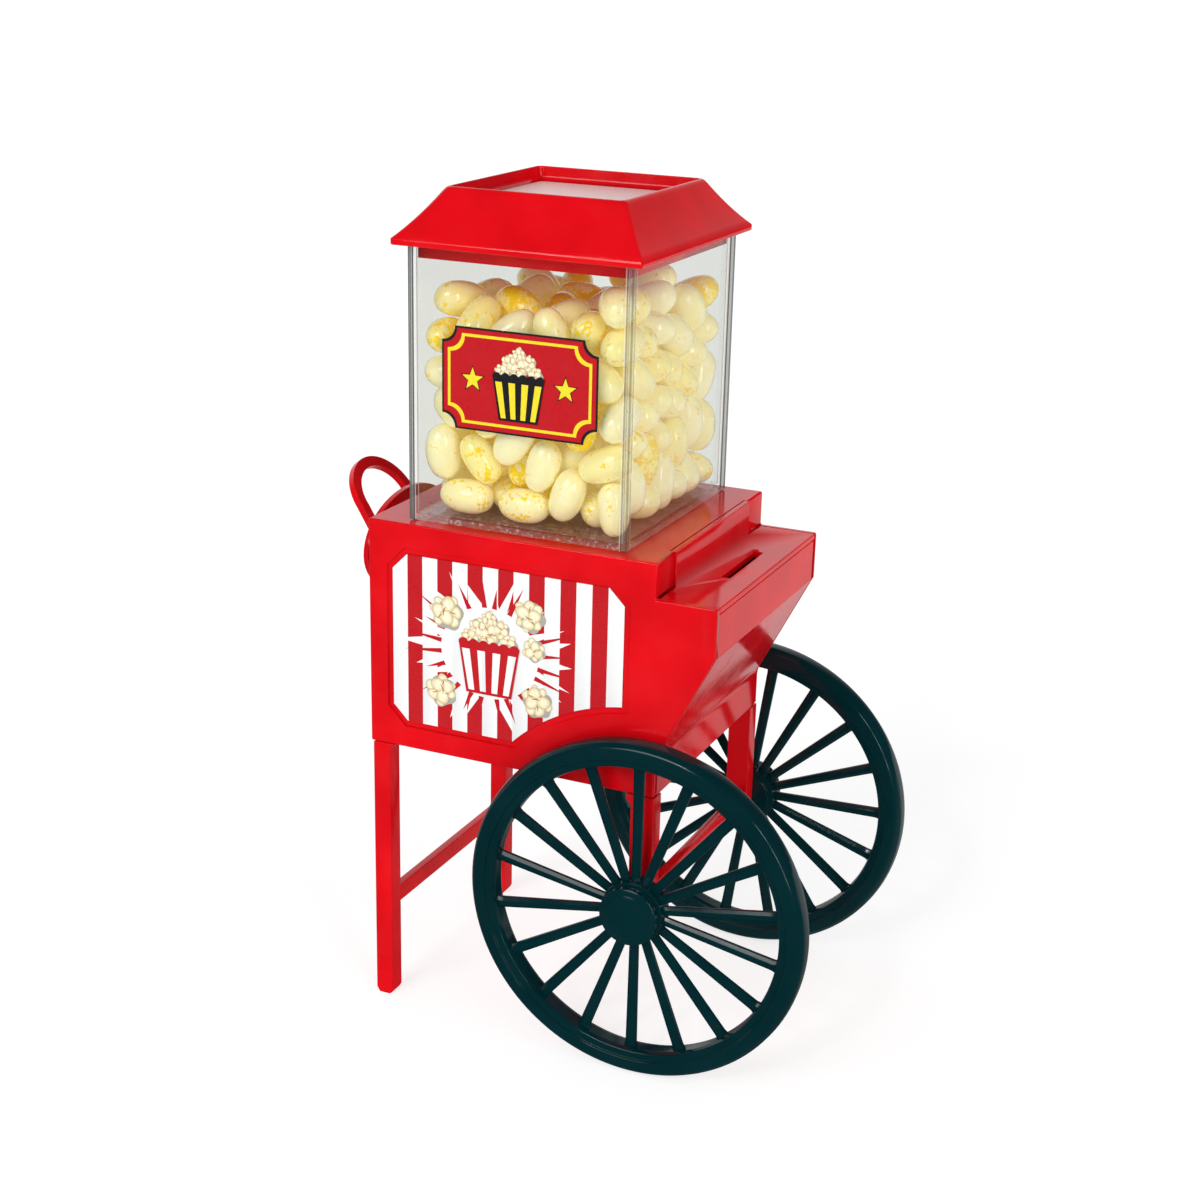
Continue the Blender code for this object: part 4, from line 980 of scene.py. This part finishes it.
def side_sticker(side_name, side):
    """Striped side label: burst, popcorn box and five loose puffs."""
    centre = ((STICKER_LOW.x + STICKER_HIGH.x) / 2, (STICKER_LOW.z + STICKER_HIGH.z) / 2)
    face_y = side * max(abs(STICKER_LOW.y), abs(STICKER_HIGH.y))
    art = Print(side_name + "_sticker_print", centre, face_y, side)
    outline = sticker_outline(centre, side)
    wide = STICKER_HIGH.x - STICKER_LOW.x
    for i in range(STRIPES):
        start = -wide / 2 + wide * i / STRIPES
        strip = clip(outline, start, True) if i else outline
        strip = clip(strip, start + wide / STRIPES, False) if i < STRIPES - 1 else strip
        art.slab(strip, 0, PRINT_WHITE if i % 2 == 0 else PRINT_RED, 9.0)
    art.centre = (centre[0] + BURST_CENTRE, centre[1])
    burst(art, 1)
    popcorn_box(art, (0.0, -0.8 * MM), 19.6 * MM, 14, PRINT_RED, PRINT_WHITE)
    for x, y, size, turn in LOOSE:
        puff(art, (x * MM, y * MM), size * MM, turn, 4)
    art.done("cart", "sticker_paper", side_name + "_sticker")


def scooped(half_wide, half_high, scoop, steps=8):
    """A ticket's outline: a rectangle with a round scoop out of each corner."""
    points = arc((-half_wide, -half_high), scoop, 90, 0, steps)
    points += arc((half_wide, -half_high), scoop, 180, 90, steps)
    points += arc((half_wide, half_high), scoop, 270, 180, steps)
    points += arc((-half_wide, half_high), scoop, 0, -90, steps)
    return points


def badge():
    """Ticket-shaped label on the near glass: dark edge, yellow line, popcorn box and two stars."""
    centre = ((BADGE_LOW.x + BADGE_HIGH.x) / 2, (BADGE_LOW.z + BADGE_HIGH.z) / 2)
    half_x = (BADGE_HIGH.x - BADGE_LOW.x) / 2
    half_z = (BADGE_HIGH.z - BADGE_LOW.z) / 2
    art = Print("hopper_badge_print", centre, BADGE_LOW.y, -1)
    art.slab(scooped(half_x, half_z, 4.5 * MM), 0, PRINT_BLACK, 12.0)
    art.slab(scooped(half_x - 0.6 * MM, half_z - 0.6 * MM, 4.6 * MM), 1, PRINT_RED)
    art.slab(scooped(half_x - 2.0 * MM, half_z - 2.0 * MM, 4.8 * MM), 2, PRINT_YELLOW)
    art.slab(scooped(half_x - 2.9 * MM, half_z - 2.9 * MM, 4.9 * MM), 3, PRINT_RED)
    popcorn_box(art, (0.0, -0.8 * MM), 16.0 * MM, 16, PRINT_BLACK, PRINT_YELLOW)
    for side in (-1, 1):
        art.slab(star((side * 15.5 * MM, 0.0), 4.4 * MM), 4, PRINT_BLACK)
        art.slab(star((side * 15.5 * MM, 0.0), 3.7 * MM), 5, PRINT_YELLOW)
    art.done("cart", "sticker_paper", "hopper_badge")


def star(centre, radius):
    """A five-pointed star's outline."""
    points = []
    for k in range(10):
        angle = math.pi / 2 + math.tau * k / 10
        r = radius if k % 2 == 0 else radius * 0.42
        points.append((centre[0] + r * math.cos(angle), centre[1] + r * math.sin(angle)))
    return points


# ---------------------------------------------------------------- stage, light, camera

def camera():
    data = bpy.data.cameras.new("camera")
    data.lens = CAMERA_LENS
    data.clip_start = 0.01
    obj = linked("camera", data)
    back = Vector((math.sin(CAMERA_YAW) * math.cos(CAMERA_PITCH),
                   -math.cos(CAMERA_YAW) * math.cos(CAMERA_PITCH), math.sin(CAMERA_PITCH)))
    right = Vector((math.cos(CAMERA_YAW), math.sin(CAMERA_YAW), 0.0))
    up = back.cross(right)
    c = math.cos(CAMERA_ROLL)
    s = math.sin(CAMERA_ROLL)
    rolled_right = c * right + s * up
    rolled_up = c * up - s * right
    turn = Matrix((rolled_right, rolled_up, back)).transposed()
    obj.matrix_world = Matrix.Translation(CAMERA_PLACE) @ turn.to_4x4()
    bpy.context.scene.camera = obj


def floor_material():
    """Pale to the eye; glossy surfaces see it darker, most of all in front."""
    material = bpy.data.materials.new("pale_floor")
    material.use_nodes = True
    tree = material.node_tree
    tree.nodes.remove(tree.nodes["Principled BSDF"])
    lit = tree.nodes.new("ShaderNodeBsdfDiffuse")
    lit.inputs["Color"].default_value = (FLOOR_LIT, FLOOR_LIT, FLOOR_LIT, 1.0)
    glow = tree.nodes.new("ShaderNodeEmission")
    glow.inputs["Strength"].default_value = FLOOR_GLOW
    both = tree.nodes.new("ShaderNodeAddShader")
    tree.links.new(lit.outputs[0], both.inputs[0])
    tree.links.new(glow.outputs[0], both.inputs[1])
    place = tree.nodes.new("ShaderNodeSeparateXYZ")
    tree.links.new(tree.nodes.new("ShaderNodeTexCoord").outputs["Object"], place.inputs[0])
    dark = tree.nodes.new("ShaderNodeBsdfDiffuse")
    tree.links.new(ranged(tree, place.outputs["Y"], *FLOOR_MIRRORED), dark.inputs["Color"])
    path = tree.nodes.new("ShaderNodeLightPath")
    mirrored = tree.nodes.new("ShaderNodeMath")
    mirrored.operation = "SUBTRACT"
    mirrored.use_clamp = True
    tree.links.new(path.outputs["Is Glossy Ray"], mirrored.inputs[0])
    tree.links.new(path.outputs["Is Transmission Ray"], mirrored.inputs[1])
    choose = tree.nodes.new("ShaderNodeMixShader")
    for source, target in zip((mirrored, both, dark), choose.inputs):
        tree.links.new(source.outputs[0], target)
    tree.links.new(choose.outputs[0], tree.nodes["Material Output"].inputs["Surface"])
    return material


def floor():
    bm = bmesh.new()
    bmesh.ops.create_circle(bm, cap_ends=True, segments=96, radius=FLOOR_RADIUS)
    mesh = mesh_of("floor", bm)
    obj = linked("floor", mesh)
    mesh.materials.append(floor_material())


def world():
    """White to the eye, softer as fill light; reflections see a bright back left corner."""
    made = bpy.data.worlds.new("studio")
    bpy.context.scene.world = made
    made.use_nodes = True
    tree = made.node_tree
    background = tree.nodes["Background"]
    background.inputs["Color"].default_value = (1.0, 1.0, 1.0, 1.0)
    leftwards = tree.nodes.new("ShaderNodeVectorMath")
    leftwards.operation = "DOT_PRODUCT"
    leftwards.inputs[1].default_value = (-1.0, 1.0, 0.0)
    tree.links.new(tree.nodes.new("ShaderNodeTexCoord").outputs["Generated"], leftwards.inputs[0])
    path = tree.nodes.new("ShaderNodeLightPath")
    seen = tree.nodes.new("ShaderNodeMath")
    seen.operation = "MAXIMUM"
    tree.links.new(path.outputs["Is Camera Ray"], seen.inputs[0])
    tree.links.new(path.outputs["Is Transmission Ray"], seen.inputs[1])
    fill = tree.nodes.new("ShaderNodeMix")
    fill.inputs["A"].default_value = SKY_FILL
    tree.links.new(path.outputs["Is Glossy Ray"], fill.inputs["Factor"])
    tree.links.new(ranged(tree, leftwards.outputs["Value"], *SKY_MIRRORED), fill.inputs["B"])
    total = tree.nodes.new("ShaderNodeMix")
    total.inputs["B"].default_value = 1.0
    tree.links.new(seen.outputs[0], total.inputs["Factor"])
    tree.links.new(fill.outputs["Result"], total.inputs["A"])
    tree.links.new(total.outputs["Result"], background.inputs["Strength"])


def sun(name, towards, strength, spread, mirrored=True):
    """A distant soft lamp, spread in degrees; towards points from the object to the lamp.

    Where mirrored is false, glossy surfaces don't show the lamp.
    """
    data = bpy.data.lights.new(name, "SUN")
    data.energy = strength
    data.angle = math.radians(spread)
    obj = linked(name, data)
    obj.rotation_euler = Vector(towards).to_track_quat("Z", "Y").to_euler()
    obj.visible_glossy = mirrored


def lights():
    sun("key", (-0.25, -0.80, 0.55), 1.02, 28.0)
    sun("spark", (-0.05, -0.80, 0.60), 0.28, 5.0)
    for number, height in enumerate((0.02, 0.22, 0.46)):
        sun("window_" + str(number + 1), (0.72, -0.60, height), 0.22, 10.0)
    sun("fill", (0.85, -0.25, 0.35), 0.60, 40.0, False)


RED_PLASTIC = red_plastic()
PAN_PAINTED_SHEEN = pan_painted_sheen()
WHEEL_PLASTIC = wheel_plastic()
CLEAR_PLASTIC = clear_plastic()
BEAN_CANDY = candy()
WHITE_PLASTIC = white_plastic()
SOFT_BLACK = soft_rubber()
STEEL = plated_steel()
PRINT_WHITE = print_white("print_white", (STICKER_HIGH.x - STICKER_LOW.x) / STRIPES)
PRINT_RED = printed("print_red", (0.53, 0.008, 0.014))
PRINT_YELLOW = printed("print_yellow", (0.90, 0.72, 0.03))
PRINT_BLACK = printed("print_black", (0.012, 0.012, 0.014), 1.6)
PRINT_SHADE = printed("print_shade", (0.42, 0.40, 0.37))
PRINT_HULL = printed("print_hull", (0.50, 0.16, 0.012))
PRINT_PUFF = printed_puff()

RED_MOULDINGS = ("body_shell", "ledge_cover", "front_panel", "near_front_leg", "far_front_leg",
                 "near_axle_leg", "far_axle_leg", "leg_stretcher", "axle_stretcher", "crank_handle",
                 "base_plate")
SLOT_MATERIALS = {"red_plastic": RED_PLASTIC, "white_plastic": WHITE_PLASTIC, "steel": STEEL,
                  "soft_black": SOFT_BLACK, "wheel_plastic": WHEEL_PLASTIC}


def roof_part(face):
    """1 on the roof pan's floor, 0 elsewhere."""
    depth = LID_HIGH.z - min(vert.co.z for vert in face.verts)
    return 1 if face.normal.z > 0.9 and PAN_DEPTH[0] < depth < PAN_DEPTH[1] else 0


def inner_nodes():
    """Give each remaining CAD node the finish of its slot."""
    for part in frame["record"]["subparts"]:
        node = frame["nodes"][part["node"]]
        if node.hide_render or part["material_slot"] not in SLOT_MATERIALS:
            continue
        node.data.materials.clear()
        node.data.materials.append(SLOT_MATERIALS[part["material_slot"]])


def main():
    for node in RED_MOULDINGS:
        smooth_copy(node, [RED_PLASTIC])
    smooth_copy("roof_lid", [RED_PLASTIC, PAN_PAINTED_SHEEN], 50.0, roof_part)
    for side_name, side in (("near", -1), ("far", 1)):
        wheel(side_name, side)
        smooth_copy(side_name + "_hub_cap", [WHEEL_PLASTIC], 30.0)
        side_sticker(side_name, side)
    smooth_copy("hopper", [CLEAR_PLASTIC], 10.0)
    beans()
    badge()
    inner_nodes()
    camera()
    floor()
    world()
    lights()
    bpy.context.scene.view_settings.view_transform = "Standard"


main()
